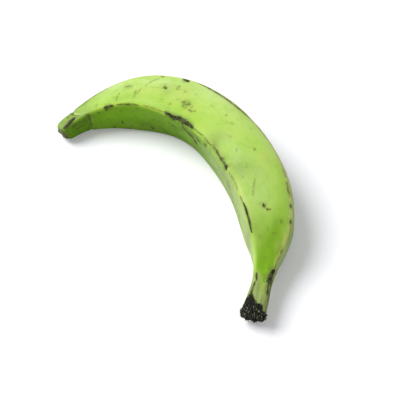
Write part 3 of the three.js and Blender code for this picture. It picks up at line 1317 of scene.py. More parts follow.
@dataclass(frozen=True)
class PeelFinish:
    """Unripe peel: waxy green, streaked and speckled skin, dry scars, a stained beak, painted light and
    shade.

    The ridge line is the half width of the pale yellow line along a ridge, partly a painted highlight, in
    millimetres.
    """

    pale: Colour = (0.475, 0.68, 0.14)
    bright: Colour = (0.375, 0.62, 0.072)
    deep: Colour = (0.18, 0.40, 0.003)
    olive: Colour = (0.29, 0.34, 0.12)
    # Painted shade for the inner face, partly its own deeper green.
    shaded: Colour = (0.27, 0.63, 0.012)
    # Waxy colour, also used for a painted lit strip on the neck's outer side.
    wax_and_lit_pale: Colour = (0.62, 0.78, 0.36)
    # Pale yellow ridge colour, partly a painted highlight on the inner upper ridge.
    straw_and_highlight: Colour = (0.72, 0.80, 0.15)
    yellow: Colour = (0.60, 0.68, 0.17)
    tan: Colour = (0.22, 0.20, 0.05)
    dull: Colour = (0.12, 0.19, 0.04)
    beak: Colour = (0.24, 0.36, 0.09)
    # Painted shade on the beak's inner side and the inner face's bottom edge.
    beak_inner_shade: Colour = (0.16, 0.37, 0.008)
    scratch: Colour = (0.12, 0.11, 0.02)
    scab: Colour = (0.016, 0.017, 0.010)
    dry: Colour = (0.085, 0.08, 0.052)
    ridge_line: float = 1.4
    roughness: float = 0.48
    scab_roughness: float = 0.85
    specular: float = 0.16

    def material(self) -> bpy.types.Material:
        """Build the peel's material.

        Returns:
            The material.
        """
        material, bench, shader = new_material("unripe_peel")
        place = bench.attribute("straight", vector=True)
        colour = self.skin(bench, place)
        colour = self.ridges(bench, place, colour)
        colour, beak = self.beak_skin(bench, place, colour)
        colour, scab, halo = self.scars(bench, place, colour)
        waxy = bench.mottle(place, size=6.0, detail=4.0)
        smooth = bench.times_plus(waxy, 0.12, self.roughness - 0.06)
        smooth = bench.times_plus(bench.maths("MAXIMUM", halo, beak), 0.15, smooth)
        rough = bench.ramp(scab, 0.0, 1.0, 0.0, self.scab_roughness - self.roughness)
        look = {"Base Color": colour, "Roughness": bench.plus(smooth, rough)}
        look |= {"Specular IOR Level": self.specular, "Normal": self.relief(bench, place, scab)}
        bench.feed(shader, look)
        return material

    def skin(self, bench: ShaderBench, place: Any) -> Any:
        """Large patches, the neck's deep green, waxy bloom, streaks, freckles, painted shade and painted
        light.

        Args:
            bench: the material's bench.
            place: the place along the straightened fruit, in millimetres.

        Returns:
            The colour of the plain skin.
        """
        slow = bench.stretched(place, (0.35, 1, 1))
        patches = bench.mottle(slow, size=16.0, detail=4.0)
        cloud = bench.mottle(slow, size=7.0, detail=5.0)
        small = bench.mottle(place, size=4.5, detail=5.0)
        bands = bench.mottle(bench.stretched(place, (1.0, 0.4, 0.4), (3, 5, 7)), size=3.2, detail=4.0)
        streak = bench.streaks(place, width=0.7, length=26.0)
        strong = bench.streaks(place, width=1.5, length=24.0)
        fine = bench.streaks(place, width=0.25, length=7.0)
        freckles = bench.speckle(place, spacing=4.2, radius=0.42, share=0.3)
        pores = bench.speckle(place, spacing=1.3, radius=0.2, share=0.5)

        def held(name: str, pattern: Any, *step: float) -> Any:
            """What the mesh holds under a name, as strong as a step of a pattern."""
            return bench.times(bench.attribute(name), bench.ramp(pattern, *step))

        return bench.layered(
            bench.mix(patches, self.bright, self.pale),
            (held("deep", cloud, 0, 1, 0.9, 1), self.deep),
            # Waxy patches, and painted light: a pale strip on the neck's outer side.
            (held("bloom", cloud, 0, 1, 0.5, 1), self.wax_and_lit_pale),
            # Painted shade: the inner face darker green towards the tip and the bottom edge, partly its
            # own colour.
            (
                held("inner_green", cloud, 0, 1, 0.8, 1),
                bench.mix(bench.attribute("lower"), self.shaded, self.beak_inner_shade),
            ),
            (held("collar", cloud, 0, 1, 0.65, 1), self.olive),
            (held("banding", bands, 0.35, 1, 0, 0.25), self.dull),
            (bench.ramp(streak, 0, 1, 0, 0.09), self.deep),
            (bench.ramp(small, 0.45, 1, 0, 0.13), self.deep),
            (held("yellow", small, 0, 0.8, 0.3, 1), self.yellow),
            (held("collar", strong, 0.45, 1, 0, 0.15), self.wax_and_lit_pale),
            (held("collar", strong, 0.4, 0, 0, 0.3), self.dull),
            (bench.ramp(fine, 0, 1, 0, 0.1), self.pale),
            # Dull stains, and painted shade in long narrow patches along the inner upper ridge.
            (held("stain", cloud, 0, 1, 0.5, 1), bench.mix(patches, self.dull, self.tan)),
            (bench.ramp(freckles, 0, 1, 0, 0.5), self.scratch),
            (bench.ramp(pores, 0, 1, 0, 0.22), self.deep),
        )

    def ridges(self, bench: ShaderBench, place: Any, colour: Any) -> Any:
        """A pale yellow line along the ridges, thin and broken, partly a painted highlight.

        Args:
            bench: the material's bench.
            place: the place along the straightened fruit, in millimetres.
            colour: the colour so far.

        Returns:
            The colour with the line on it.
        """
        gap = bench.over(bench.attribute("ridge_gap"), self.ridge_line)
        slow = bench.stretched(place, (0.22, 1, 1))
        edge = bench.broken_edge(gap, slow, Grain=1.6, Ragged=0.9, Softness=0.7)
        share = bench.times(edge, bench.attribute("ridge_tone"))
        return bench.mix(share, colour, self.straw_and_highlight)

    def beak_skin(self, bench: ShaderBench, place: Any, colour: Any) -> tuple[Any, Any]:
        """Dull skin beyond the crease, darker with painted shade on its inner side, a pale lip along it
        and a dark line in it.

        Args:
            bench: the material's bench.
            place: the place along the straightened fruit, in millimetres.
            colour: the colour so far.

        Returns:
            The new colour, and how far beyond the crease a place is, from 0 to 1.
        """
        wander = bench.minus(bench.noise(place, 0.35, 3.0), 0.5)
        moved = bench.times_plus(wander, 2.4, bench.attribute("beyond_crease"))
        share = bench.ramp(moved, -1.2, 2.4)
        patches = bench.mottle(place, size=4.0, detail=4.0)
        # Painted shade: the beak's inner side is a darker green.
        skin = bench.mix(bench.attribute("inside"), self.beak, self.beak_inner_shade)
        skin = bench.mix(bench.ramp(patches, 0.2, 1.0, 0.0, 0.45), skin, self.dull)
        off_lip = bench.maths("ABSOLUTE", bench.plus(moved, 0.9))
        lip = bench.times(bench.ramp(off_lip, 0.1, 0.9, 1, 0), bench.attribute("crease"))
        off_line = bench.maths("ABSOLUTE", bench.minus(moved, 0.3))
        fold = bench.times(bench.ramp(off_line, 0.15, 0.8, 1, 0), bench.attribute("crease"))
        colour = bench.layered(
            colour,
            (bench.attribute("tip_grey"), skin),
            (bench.times(share, bench.attribute("beak_dull")), skin),
            (bench.times(lip, 0.45), self.wax_and_lit_pale),
            (bench.times(fold, 0.85), self.scratch),
        )
        return colour, share

    def scars(self, bench: ShaderBench, place: Any, colour: Any) -> tuple[Any, Any, Any]:
        """The named and strewn marks, and the skin that dries up towards the stem's crust.

        Args:
            bench: the material's bench.
            place: the place along the straightened fruit, in millimetres.
            colour: the colour so far.

        Returns:
            The new colour, where there is a scab, and where a mark has stained the skin round it.
        """
        nearest = bench.attribute("mark", vector=True)
        parts = bench.add("ShaderNodeSeparateXYZ", {"Vector": nearest}).outputs
        squares = bench.times_plus(parts["X"], parts["X"], bench.maths("POWER", parts["Y"], 2.0))
        gap = bench.plus(bench.maths("SQRT", squares), bench.ramp(parts["Z"], 0.9, 0.2, 0, 9))
        dark = bench.attribute("mark_dark")
        drawn_out = bench.stretched(place, (0.4, 1, 1))
        coarse = bench.minus(bench.noise(drawn_out, 0.45, 3.0, 0.6), 0.5)
        moved = bench.times_plus(coarse, 1.3, gap)
        edge = bench.broken_edge(moved, drawn_out, Grain=0.75, Ragged=0.8, Softness=0.45)
        gappy = bench.mottle(drawn_out, size=1.3, detail=5.0)
        least = bench.ramp(dark, 0.4, 1.0, 0.0, 0.8)
        worn = bench.maths("MAXIMUM", bench.ramp(gappy, 0.15, 0.6), least)
        core = bench.times(edge, worn)
        wide = bench.times(moved, 0.5)
        halo = bench.broken_edge(wide, place, Grain=1.6, Ragged=0.7, Softness=0.7)
        halo = bench.times(halo, bench.ramp(dark, 0.2, 1.0, 0.12, 0.6))
        fringe = bench.mix(bench.ramp(gappy, 0.2, 0.9), self.dull, self.tan)
        colour = bench.mix(halo, colour, fringe)
        flakes = bench.mottle(drawn_out, size=0.9, detail=4.0)
        dry = bench.mix(bench.ramp(flakes, 0.35, 0.9), self.scab, self.dry)
        inside = bench.mix(bench.ramp(dark, 0.4, 0.85), self.scratch, dry)
        share = bench.times(core, bench.ramp(dark, 0.0, 0.85, 0.12, 1.0))
        colour = bench.mix(share, colour, inside)
        near = bench.over(bench.plus(bench.attribute("crust_gap"), 1.2), 1.6)
        rim = bench.broken_edge(near, place, Grain=1.8, Ragged=0.9, Softness=0.6)
        colour = bench.mix(rim, colour, dry)
        scab = bench.maths("MAXIMUM", bench.times(core, bench.ramp(dark, 0.5, 0.9)), rim)
        return colour, scab, halo

    def relief(self, bench: ShaderBench, place: Any, scab: Any) -> Any:
        """Fine grain, faint lengthwise ribbing and the thickness of the scabs.

        Args:
            bench: the material's bench.
            place: the place along the straightened fruit, in millimetres.
            scab: where there is a scab.

        Returns:
            The normal of the rough skin.
        """
        grain = bench.noise(place, 2.2, 5.0, 0.6)
        ribs = bench.streaks(place, width=0.9, length=22.0)
        height = bench.times_plus(ribs, 0.014, bench.times(grain, 0.08))
        crumble = bench.noise(place, 1.6, 5.0, 0.7)
        raised = bench.times(scab, bench.times_plus(crumble, 0.5, 0.12))
        return bench.bump(bench.plus(height, raised))


@dataclass(frozen=True)
class CrustFinish:
    """Dried, torn plant tissue: nearly black, crumbly, with paler flecks of dry fibre."""

    name: str
    dark: Colour = (0.010, 0.010, 0.007)
    brown: Colour = (0.030, 0.026, 0.016)
    fleck: Colour = (0.34, 0.35, 0.22)
    flecks: float = 0.5
    fleck_size: float = 0.42
    fleck_strength: float = 0.95
    roughness: float = 0.9
    specular: float = 0.15

    def material(self) -> bpy.types.Material:
        """Build the crust's material.

        Returns:
            The material.
        """
        material, bench, shader = new_material(self.name)
        metres = bench.add("ShaderNodeTexCoord").outputs["Object"]
        place = bench.stretched(metres, (1 / MM, 1 / MM, 1 / MM))
        clouds = bench.mottle(place, size=1.8, detail=4.0)
        colour = bench.mix(bench.ramp(clouds, 0.35, 1.0, 0.0, 0.8), self.dark, self.brown)
        wobble = bench.add("ShaderNodeTexNoise", {"Vector": place, "Scale": 1.4, "Detail": 2.0})
        bent = bench.add("ShaderNodeVectorMath", {0: place, 1: wobble.outputs["Color"]}, operation="ADD")
        spots = bench.speckle(bent.outputs[0], self.fleck_size * 2.6, self.fleck_size, self.flecks)
        patchy = bench.mottle(place, size=3.6, detail=2.0)
        share = bench.times(spots, bench.ramp(patchy, 0.35, 0.75, 0.08, self.fleck_strength))
        coarse = bench.noise(place, 1.3, 6.0, 0.7)
        height = bench.times_plus(spots, 0.12, bench.times(coarse, 0.6))
        rough = bench.ramp(clouds, 0, 1, self.roughness - 0.2, self.roughness)
        look = {"Base Color": bench.mix(share, colour, self.fleck), "Roughness": rough}
        bench.feed(shader, look | {"Specular IOR Level": self.specular, "Normal": bench.bump(height)})
        return material


@dataclass(frozen=True)
class FloorFinish:
    """A plain white studio floor, very slightly uneven, that throws little light back up."""

    white: Colour = (0.83, 0.83, 0.87)
    off_white: Colour = (0.81, 0.81, 0.85)
    bounce: Colour = (0.42, 0.42, 0.42)
    glow: float = 0.18
    roughness: float = 0.9

    def material(self) -> bpy.types.Material:
        """Build the floor's material. The camera sees it a little lit from within.

        Returns:
            The material.
        """
        material, bench, shader = new_material("studio_floor")
        place = bench.add("ShaderNodeTexCoord").outputs["Object"]
        cloud = bench.noise(place, 1.5, 2.0)
        seen = bench.add("ShaderNodeLightPath").outputs["Is Camera Ray"]
        colour = bench.mix(seen, self.bounce, bench.mix(cloud, self.white, self.off_white))
        lit = {"Emission Color": bench.mix(seen, (0, 0, 0), (1, 1, 1)), "Emission Strength": self.glow}
        bench.feed(shader, lit | {"Base Color": colour, "Roughness": self.roughness})
        return material


# ---------------------------------------------------------------- pieces


def fixed(piece: bpy.types.Object) -> bpy.types.Object:
    """Fix a finished piece to the fruit.

    Args:
        piece: the piece.

    Returns:
        The same piece.
    """
    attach(piece, BODY)
    log.info("%s: %d faces", piece.name, len(piece.data.polygons))
    return piece


@dataclass(frozen=True)
class PeelRelief:
    """Heights and widths of the small forms on the skin, in millimetres."""

    undulation: float = 0.4
    ridge_lift: float = 0.45
    ridge_width: float = 3.2
    neck_rib: float = 0.35
    crease_depth: float = 0.55
    crease_width: float = 1.1
    beak_step: float = 0.45
    dimple: float = 0.25


# Stripes of waxy bloom along the skin: the strength, the angle of the middle, the half width round
# the skin in millimetres, and the distances over which the stripe rises and falls.
BLOOM_STRIPES: Rows = (
    (0.55, 44, 9, (110, 210), (248, 264)),
    (0.45, 106, 9, (50, 85), (115, 165)),
    (0.12, 106, 9, (200, 220), (300, 301)),
    (0.2, 143, 5, (150, 162), (180, 200)),
    (0.5, 30, 6, (95, 120), (165, 220)),
)

# How strongly each ridge is pale yellow, by the distance from the stem end.
# From about 195 mm on, the inner upper ridge's line is a painted highlight.
RIDGE_TINT_AND_HIGHLIGHT: dict[Ridge, Table] = {
    Ridge.OUTER_UPPER: (
        (0, 0.1), (34, 0.2), (44, 0.6), (60, 0.7), (96, 0.6), (110, 0.4), (240, 0.3), (265, 0.1),
    ),
    Ridge.INNER_UPPER: (
        (0, 0.05), (20, 0.05), (60, 0.1), (170, 0.1), (195, 0.4), (250, 0.35), (270, 0.1),
    ),
    Ridge.INNER_LOWER: ((0, 0.2), (30, 0.4), (70, 0.6), (150, 0.4), (230, 0.5), (270, 0.1)),
    Ridge.OUTER_LOWER: ((0, 0.2), (40, 0.5), (90, 0.4), (160, 0.6), (240, 0.4), (270, 0.1)),
}


@dataclass
class Peel:
    """The whole skin of the fruit, from the middle of the stem end to the tip of the beak."""

    form: FruitForm
    sweeper: Sweeper
    finish: PeelFinish
    marks: tuple[Mark, ...]
    blotches: tuple[Blotch, ...]
    relief: PeelRelief = PeelRelief()
    step: float = 0.72
    sides: int = 224
    turn_steps: int = 12
    face_rings: int = 12
    crease: Table = (
        (38, 268), (53, 268.5), (74, 270.5), (95, 269.5), (112, 268), (125, 266), (131, 263),
        (147, 261.7), (178, 262.6), (220, 263), (300, 266),
    )
    crust_edge: Table = ()

    def build(self) -> bpy.types.Object:
        """Sweep the skin, raise its small forms, mark it and dress it.

        Returns:
            The piece.
        """
        rings = self.form.rings(self.step, self.turn_steps, self.face_rings)
        piece = self.sweeper.sweep("peel", *rings, self.sides, self.finish.material())
        surface = Surface(piece, self.form)
        surface.raise_by(self.heights(surface))
        self.tint(surface)
        marks = MarkField(surface)
        for scar in self.marks:
            marks.add(scar)
        marks.hold()
        surface.unroll()
        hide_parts(CAD_NODE)
        return fixed(piece)

    def ridge_gap(self, surface: Surface) -> np.ndarray:
        """Distance round the skin to the nearest ridge, which wanders a little."""
        wander = 0.7 * noise(surface.straight * np.array([1, 0, 0]), 34, 5)
        return np.min([np.abs(surface.arc(ridge.value) + wander) for ridge in Ridge], axis=0)

    def beyond_crease(self, surface: Surface) -> np.ndarray:
        """Distance past the crease that sets off the beak, towards the tip."""
        at = np.interp(surface.degrees, *zip(*self.crease), period=360)
        return surface.along - at - 0.8 * noise(surface.straight, 7, 41, 2)

    def heights(self, surface: Surface) -> np.ndarray:
        """How far each place stands proud of the plain form.

        Args:
            surface: the skin.

        Returns:
            A height in millimetres for each vertex.
        """
        relief, along, length = self.relief, surface.along, self.form.length
        slow = surface.straight * np.array([0.45, 1, 1])
        body = band(along, (4, 30), (length - 14, length))
        height = relief.undulation * body * noise(slow, 17, 3, 2)
        ridge = bell(self.ridge_gap(surface), relief.ridge_width)
        height += relief.ridge_lift * ridge * (0.25 + 0.75 * body) * (0.85 + 0.3 * noise(slow, 12, 9))
        neck = band(along, (5, 14), (40, 62))
        height += relief.neck_rib * neck * noise(surface.straight * np.array([0.08, 1, 1]), 3.1, 21)
        beyond = self.beyond_crease(surface)
        height -= relief.crease_depth * bell(beyond - 0.3, relief.crease_width)
        height -= relief.beak_step * smoothstep(beyond, -1, 2)
        beak = smoothstep(along, 262, 274)
        height += relief.neck_rib * beak * noise(surface.straight * np.array([0.15, 1, 1]), 2.8, 33)
        dents = np.maximum(0, noise(surface.straight * np.array([0.7, 1, 1]), 11, 27) - 0.5)
        return height - 2 * relief.dimple * dents * body

    def tint(self, surface: Surface) -> None:
        """Write where the skin is deeper green, waxy, pale yellow, stained or dried, and the painted
        light and shade.

        Args:
            surface: the skin.
        """
        along, degrees = surface.along, surface.degrees
        slow = surface.straight * np.array([0.5, 1, 1])
        patchy = 3.0 * noise(slow, 9, 61, 2)
        top = band(degrees + patchy, (36, 46), (118, 138))
        neck_end = np.interp(degrees, (40, 60, 75, 90, 105, 122), (52, 62, 64, 60, 55, 50))
        neck_start = np.interp(degrees, (45, 60, 76, 90, 108), (26, 22, 19, 22, 26))
        past_collar = smoothstep(along + patchy - neck_start, -4, 5)
        neck = past_collar * (1 - smoothstep(along + patchy - neck_end, -19, 14))
        belly = 0.2 * band(along, (30, 60), (70, 150)) * bell(surface.arc(58), 12)
        deep = neck * top + belly
        collar = 1 - past_collar
        inner = band(degrees, (122, 144), (215, 250))
        bloom = inner * band(along, (14, 45), (120, 190))
        # Painted light: a pale strip on the neck's outer side, which faces away from the key light.
        outside = 1 - smoothstep(np.abs(turned_from(degrees, 8)), 22, 38)
        bloom += 0.95 * outside * band(along, (0, 30), (80, 125))
        for strength, middle, width, rise, fall in BLOOM_STRIPES:
            bloom += strength * bell(surface.arc(middle), width) * band(along, rise, fall)
        inside = band(degrees, (121, 131), (225, 260))
        # Painted shade, partly the inner face's own deeper green: darker from the middle towards the tip.
        inner_green = inside * smoothstep(along + 2 * patchy, 95, 190)
        straw_and_highlight = sum(
            np.interp(along, *zip(*tones)) * bell(surface.arc(ridge.value), 7)
            for ridge, tones in RIDGE_TINT_AND_HIGHLIGHT.items()
        )
        beyond = self.beyond_crease(surface)
        crease = bell(beyond, 5) * (0.3 + 0.7 * smoothstep(noise(surface.straight, 6, 51), -0.7, 0.0))
        crease *= 0.3 + 0.7 * band(degrees, (40, 60), (122, 134))
        edge = np.interp(degrees, *zip(*self.crust_edge), period=360)
        surface.hold(
            straight=surface.straight,
            ridge_gap=self.ridge_gap(surface),
            ridge_tone=np.clip(straw_and_highlight, 0, 1),
            deep=np.clip(deep, 0, 1),
            collar=collar,
            bloom=np.clip(bloom, 0, 1),
            inner_green=inner_green,
            stain=self.cover(surface, self.blotches),
            yellow=self.cover(surface, blotches_of(YELLOW_BLOTCHES)),
            banding=inside * band(along, (75, 110), (170, 215)),
            beyond_crease=np.clip(beyond, -9, 30),
            crease=crease,
            beak_dull=0.6 + 0.3 * inside,
            inside=inside,
            # Painted shade: darker towards the inner face's bottom edge.
            lower=0.75 * smoothstep(degrees, 160, 230),
            tip_grey=0.45 * smoothstep(along + patchy, 248, 266),
            crust_gap=along - edge,
        )

    def cover(self, surface: Surface, blotches: tuple[Blotch, ...]) -> np.ndarray:
        """How strongly some soft patches together cover each place.

        Args:
            surface: the skin.
            blotches: the patches.

        Returns:
            A share from 0 to 1 for each vertex.
        """
        left = np.ones(len(surface.along))
        for blotch in blotches:
            along = (surface.along - blotch.along) / blotch.size
            across = surface.arc(blotch.degrees) / (blotch.size * blotch.across)
            left *= 1 - blotch.strength * np.exp(-(along**2) - across**2)
        return 1 - left


class End(Enum):
    """The two ends of the fruit."""

    STEM = "stem"
    BLOSSOM = "blossom"


@dataclass(frozen=True)
class CrustRelief:
    """Sizes of a crust's small forms, in millimetres.

    The knobs stand from the end itself back to the first of two distances, and thin out to the next.
    """

    thickness: float = 0.15
    buried: float = 1.3
    ragged: float = 1.6
    ragged_size: float = 3.2
    lumps: float = 0.5
    lump_size: float = 2.6
    flare: float = 0.25
    flare_depth: float = 2.4
    hollow: float = 0.6
    knobs_reach: tuple[float, float] = (1.2, 3.4)


@dataclass
class EndCrust:
    """A dry crust over one end, which comes out of the skin along a ragged edge."""

    end: End
    name: str
    slot: str
    form: FruitForm
    sweeper: Sweeper
    edge: Table
    relief: CrustRelief
    step: float = 0.28
    sides: int = 190
    reach: float = 17.0
    seed: int = 11

    def rings(self) -> Rings:
        """The section rings: over the end face, back along the skin and closed inside the fruit.

        Returns:
            The rings' distances from the stem end, and the share of the skin that each reaches.
        """
        form, stem = self.form, self.end is End.STEM
        shape = form.stem_end if stem else form.blossom_end
        width = float(smooth_table(form.half_width, np.array([0.0 if stem else form.length]))[0])
        face_rings = round(shape.flat * width / self.step)
        back, share = form.end_rings(shape, round(1.6 * shape.depth / self.step), face_rings)
        sleeve = np.linspace(shape.depth, self.reach, round((self.reach - shape.depth) / self.step))
        back = np.r_[back, sleeve, self.reach, self.reach]
        share = np.r_[share, np.ones(len(sleeve)), 0.6, 0.0]
        return (back, share) if stem else ((form.length - back)[::-1], share[::-1])

    def build(self, material: bpy.types.Material) -> bpy.types.Object:
        """Sweep the crust and raise its lumps out of the skin.

        Args:
            material: the crust's finish.

        Returns:
            The piece. Its vertices hold knobs, which says where crumbs and fibres may sit.
        """
        piece = self.sweeper.sweep(self.name, *self.rings(), self.sides, material)
        surface = Surface(piece, self.form)
        back = surface.along if self.end is End.STEM else self.form.length - surface.along
        relief, place = self.relief, surface.straight
        edge = np.interp(surface.degrees, *zip(*self.edge), period=360)
        edge = edge + relief.ragged * noise(place, relief.ragged_size, self.seed, 3)
        inside = smoothstep(edge - back, -0.9, 1.2)
        lumps = relief.lumps * noise(place, relief.lump_size, self.seed + 10, 4)
        flare = relief.flare * bell(back, relief.flare_depth)
        flare *= 0.8 + 0.5 * noise(place, 4.5, self.seed + 20)
        share = read_attribute(piece.data, "share")
        hollow = relief.hollow * (1 - smoothstep(share, 0.1, 0.75)) * (back < 1)
        height = inside * (relief.thickness + lumps + flare) - relief.buried * (1 - inside) - hollow
        surface.raise_by(height)
        surface.hold(knobs=(1 - smoothstep(back, *relief.knobs_reach)) * inside)
        surface.unroll()
        return fixed(piece)


@dataclass
class Strewn:
    """Small things that are strewn over a crust, from a fixed seed. Sizes are in millimetres."""

    name: str
    slot: str

    def sizes_in_tree(self) -> dict[str, Any]:
        """The geometry tree's inputs, apart from its geometry and its material."""
        raise NotImplementedError

    def build(self, crust: bpy.types.Object, tree: bpy.types.NodeTree, material: Any) -> bpy.types.Object:
        """Strew the things over a crust, where it holds knobs.

        Args:
            crust: the crust that holds them.
            tree: what tree() built.
            material: their finish.

        Returns:
            The piece that holds them all.
        """
        piece = place_in_scene(bpy.data.objects.new(self.name, crust.data.copy()))
        run_tree(piece, tree, Where="knobs", Material=material, **self.sizes_in_tree())
        move_vertices(piece.data, vertex_places(piece.data))
        return fixed(piece)


@dataclass
class Crumbs(Strewn):
    """Lumps of dried tissue that sit on a crust."""

    spacing: float = 2.3
    sizes: tuple[float, float] = (0.8, 1.9)
    lumpiness: float = 0.6
    seed: int = 4

    def sizes_in_tree(self) -> dict[str, Any]:
        """The crumbs' spacing, sizes, lumpiness and seed."""
        smallest, largest = self.sizes
        lengths = {"Spacing": self.spacing * MM, "Smallest": smallest * MM, "Largest": largest * MM}
        return lengths | {"Lumpiness": self.lumpiness, "Seed": self.seed}

    @staticmethod
    def tree() -> bpy.types.NodeTree:
        """The tree that strews lumps over a surface.

        Returns:
            The geometry tree.
        """
        inputs = {
            "Geometry": Socket.GEOMETRY,
            "Where": "knobs",
            "Spacing": 0.002,
            "Smallest": 0.0005,
            "Largest": 0.001,
            "Lumpiness": 0.5,
            "Seed": 0,
            "Material": Socket.MATERIAL,
        }
        bench, given, output = GeometryBench.open("Strewn Crumbs", inputs)
        spots = bench.strewn(given)
        ball = bench.add("GeometryNodeMeshIcoSphere", {"Radius": 1.0, "Subdivisions": 2}).outputs[0]
        turned = bench.random_vector((0, 0, 0), (FULL_TURN, FULL_TURN, FULL_TURN), given["Seed"])
        size = bench.random_number(given["Smallest"], given["Largest"], given["Seed"])
        squash = bench.random_vector((0.75, 0.7, 0.6), (1.25, 1.1, 1.0), given["Seed"])
        lumps = bench.add(
            "GeometryNodeInstanceOnPoints",
            {
                "Points": spots["Points"],
                "Instance": ball,
                "Rotation": turned,
                "Scale": bench.scaled(squash, size),
            },
        )
        real = bench.add("GeometryNodeRealizeInstances", {"Geometry": lumps.outputs[0]}).outputs[0]
        place = bench.add("GeometryNodeInputPosition").outputs[0]
        wave = bench.add("ShaderNodeTexNoise", {"Vector": place, "Scale": 900.0, "Detail": 3.0})
        height = bench.times(bench.minus(wave.outputs["Fac"], 0.5), given["Lumpiness"])
        facing = bench.add("GeometryNodeInputNormal").outputs[0]
        offset = bench.scaled(facing, bench.times(height, given["Largest"]))
        rough = bench.add("GeometryNodeSetPosition", {"Geometry": real, "Offset": offset}).outputs[0]
        bench.finish(rough, given["Material"], output)
        return bench.tree


@dataclass
class Fibres(Strewn):
    """Torn, dried strands that stand out of a crust."""

    spacing: float = 1.15
    lengths: tuple[float, float] = (0.9, 2.2)
    radius: float = 0.2
    tilt: float = 0.7
    bend: float = 0.6
    seed: int = 9

    def sizes_in_tree(self) -> dict[str, Any]:
        """The strands' spacing, lengths, radius, tilt, bend and seed."""
        shortest, longest = self.lengths
        lengths = {"Spacing": self.spacing * MM, "Shortest": shortest * MM, "Longest": longest * MM}
        lengths["Radius"] = self.radius * MM
        return lengths | {"Tilt": self.tilt, "Bend": self.bend, "Seed": self.seed}

    @staticmethod
    def tree() -> bpy.types.NodeTree:
        """The tree that stands bent, tapering strands on a surface.

        Returns:
            The geometry tree.
        """
        inputs = {
            "Geometry": Socket.GEOMETRY,
            "Where": "knobs",
            "Spacing": 0.001,
            "Shortest": 0.001,
            "Longest": 0.002,
            "Radius": 0.0001,
            "Tilt": 0.5,
            "Bend": 0.5,
            "Seed": 0,
            "Material": Socket.MATERIAL,
        }
        bench, given, output = GeometryBench.open("Torn Fibres", inputs)
        spots = bench.strewn(given)
        strand = bench.add("GeometryNodeCurvePrimitiveLine", {"Start": (0, 0, -0.25), "End": (0, 0, 1)})
        bent = bench.add("GeometryNodeResampleCurve", {"Curve": strand.outputs[0], "Count": 6}).outputs[0]
        low = bench.scaled((-1.0, -1.0, 0.0), given["Tilt"])
        high = bench.scaled((1.0, 1.0, 0.0), given["Tilt"])
        lean = bench.random_vector(low, high, given["Seed"])
        leaning = bench.add("FunctionNodeEulerToRotation", {"Euler": lean}).outputs[0]
        stands = {"Rotation": spots["Rotation"], "Rotate By": leaning}
        turned = bench.add("FunctionNodeRotateRotation", stands, rotation_space="LOCAL").outputs[0]
        length = bench.random_number(given["Shortest"], given["Longest"], given["Seed"])
        strands = bench.add(
            "GeometryNodeInstanceOnPoints",
            {"Points": spots["Points"], "Instance": bent, "Rotation": turned, "Scale": length},
        )
        real = bench.add("GeometryNodeRealizeInstances", {"Geometry": strands.outputs[0]}).outputs[0]
        part = bench.add("GeometryNodeSplineParameter").outputs["Factor"]
        place = bench.add("GeometryNodeInputPosition").outputs[0]
        wave = bench.add("ShaderNodeTexNoise", {"Vector": place, "Scale": 450.0, "Detail": 1.0})
        sway = bench.vector("SUBTRACT", wave.outputs["Color"], (0.5, 0.5, 0.5))
        reach = bench.times(bench.times(part, given["Bend"]), given["Longest"])
        offset = bench.scaled(sway, reach)
        swayed = bench.add("GeometryNodeSetPosition", {"Geometry": real, "Offset": offset})
        profile = bench.add(
            "GeometryNodeCurvePrimitiveCircle", {"Resolution": 5, "Radius": given["Radius"]}
        ).outputs[0]
        taper = bench.times_plus(part, -0.75, 1.0)
        feeds = {"Curve": swayed.outputs[0], "Profile Curve": profile, "Scale": taper, "Fill Caps": True}
        tubes = bench.add("GeometryNodeCurveToMesh", feeds)
        bench.finish(tubes.outputs[0], given["Material"], output)
        return bench.tree


# ---------------------------------------------------------------- studio


@dataclass
class Studio:
    """A white floor, even white surroundings, one broad soft light and the camera."""

    finish: FloorFinish = FloorFinish()
    floor_size: float = 14.0
    surroundings: float = 0.42
    key_strength: float = 2.9
    key_spread: float = 38.0
    key_from: tuple[float, float, float] = (-0.6, 0.15, 0.8)
    target: tuple[float, float, float] = (0.01948, 0.01132, -0.00511)
    distance: float = 0.9
    elevation: float = 50.0
    lens: float = 117.39
    sensor_width: float = 36.0

    def build(self) -> None:
        """Set the whole stage."""
        self.floor()
        self.light()
        self.camera()

    def floor(self) -> None:
        """Lay the floor."""
        half = self.floor_size / 2
        corners = [(-half, -half, 0), (half, -half, 0), (half, half, 0), (-half, half, 0)]
        laid = new_object("studio_floor", corners, faces=[(0, 1, 2, 3)])
        laid.data.materials.append(self.finish.material())

    def light(self) -> None:
        """Light the stage from the surroundings and from the key light."""
        world = bpy.data.worlds.new("studio")
        world.use_nodes = True
        bench = ShaderBench(world.node_tree)
        seen = bench.add("ShaderNodeLightPath").outputs["Is Camera Ray"]
        strength = bench.ramp(seen, 0, 1, self.surroundings, 1.0)
        feeds = {"Color": (1, 1, 1, 1), "Strength": strength}
        background = bench.add("ShaderNodeBackground", feeds)
        bench.add("ShaderNodeOutputWorld", {"Surface": background.outputs[0]})
        bpy.context.scene.world = world
        lamp = bpy.data.lights.new("key", "SUN")
        lamp.energy = self.key_strength
        lamp.angle = math.radians(self.key_spread)
        key = bpy.data.objects.new("key", lamp)
        key.rotation_euler = Vector(self.key_from).to_track_quat("Z", "Y").to_euler()
        place_in_scene(key)
        bpy.context.scene.view_settings.view_transform = "Standard"

    def camera(self) -> None:
        """Look down at the fruit from in front of it."""
        tilt = math.radians(self.elevation)
        back = Vector((0, -math.cos(tilt), math.sin(tilt)))
        made = bpy.data.cameras.new("camera")
        made.sensor_width = self.sensor_width
        made.lens = self.lens
        camera = bpy.data.objects.new("camera", made)
        camera.location = Vector(self.target) + self.distance * back
        camera.rotation_euler = back.to_track_quat("Z", "Y").to_euler()
        bpy.context.scene.camera = place_in_scene(camera)


# ---------------------------------------------------------------- assembly


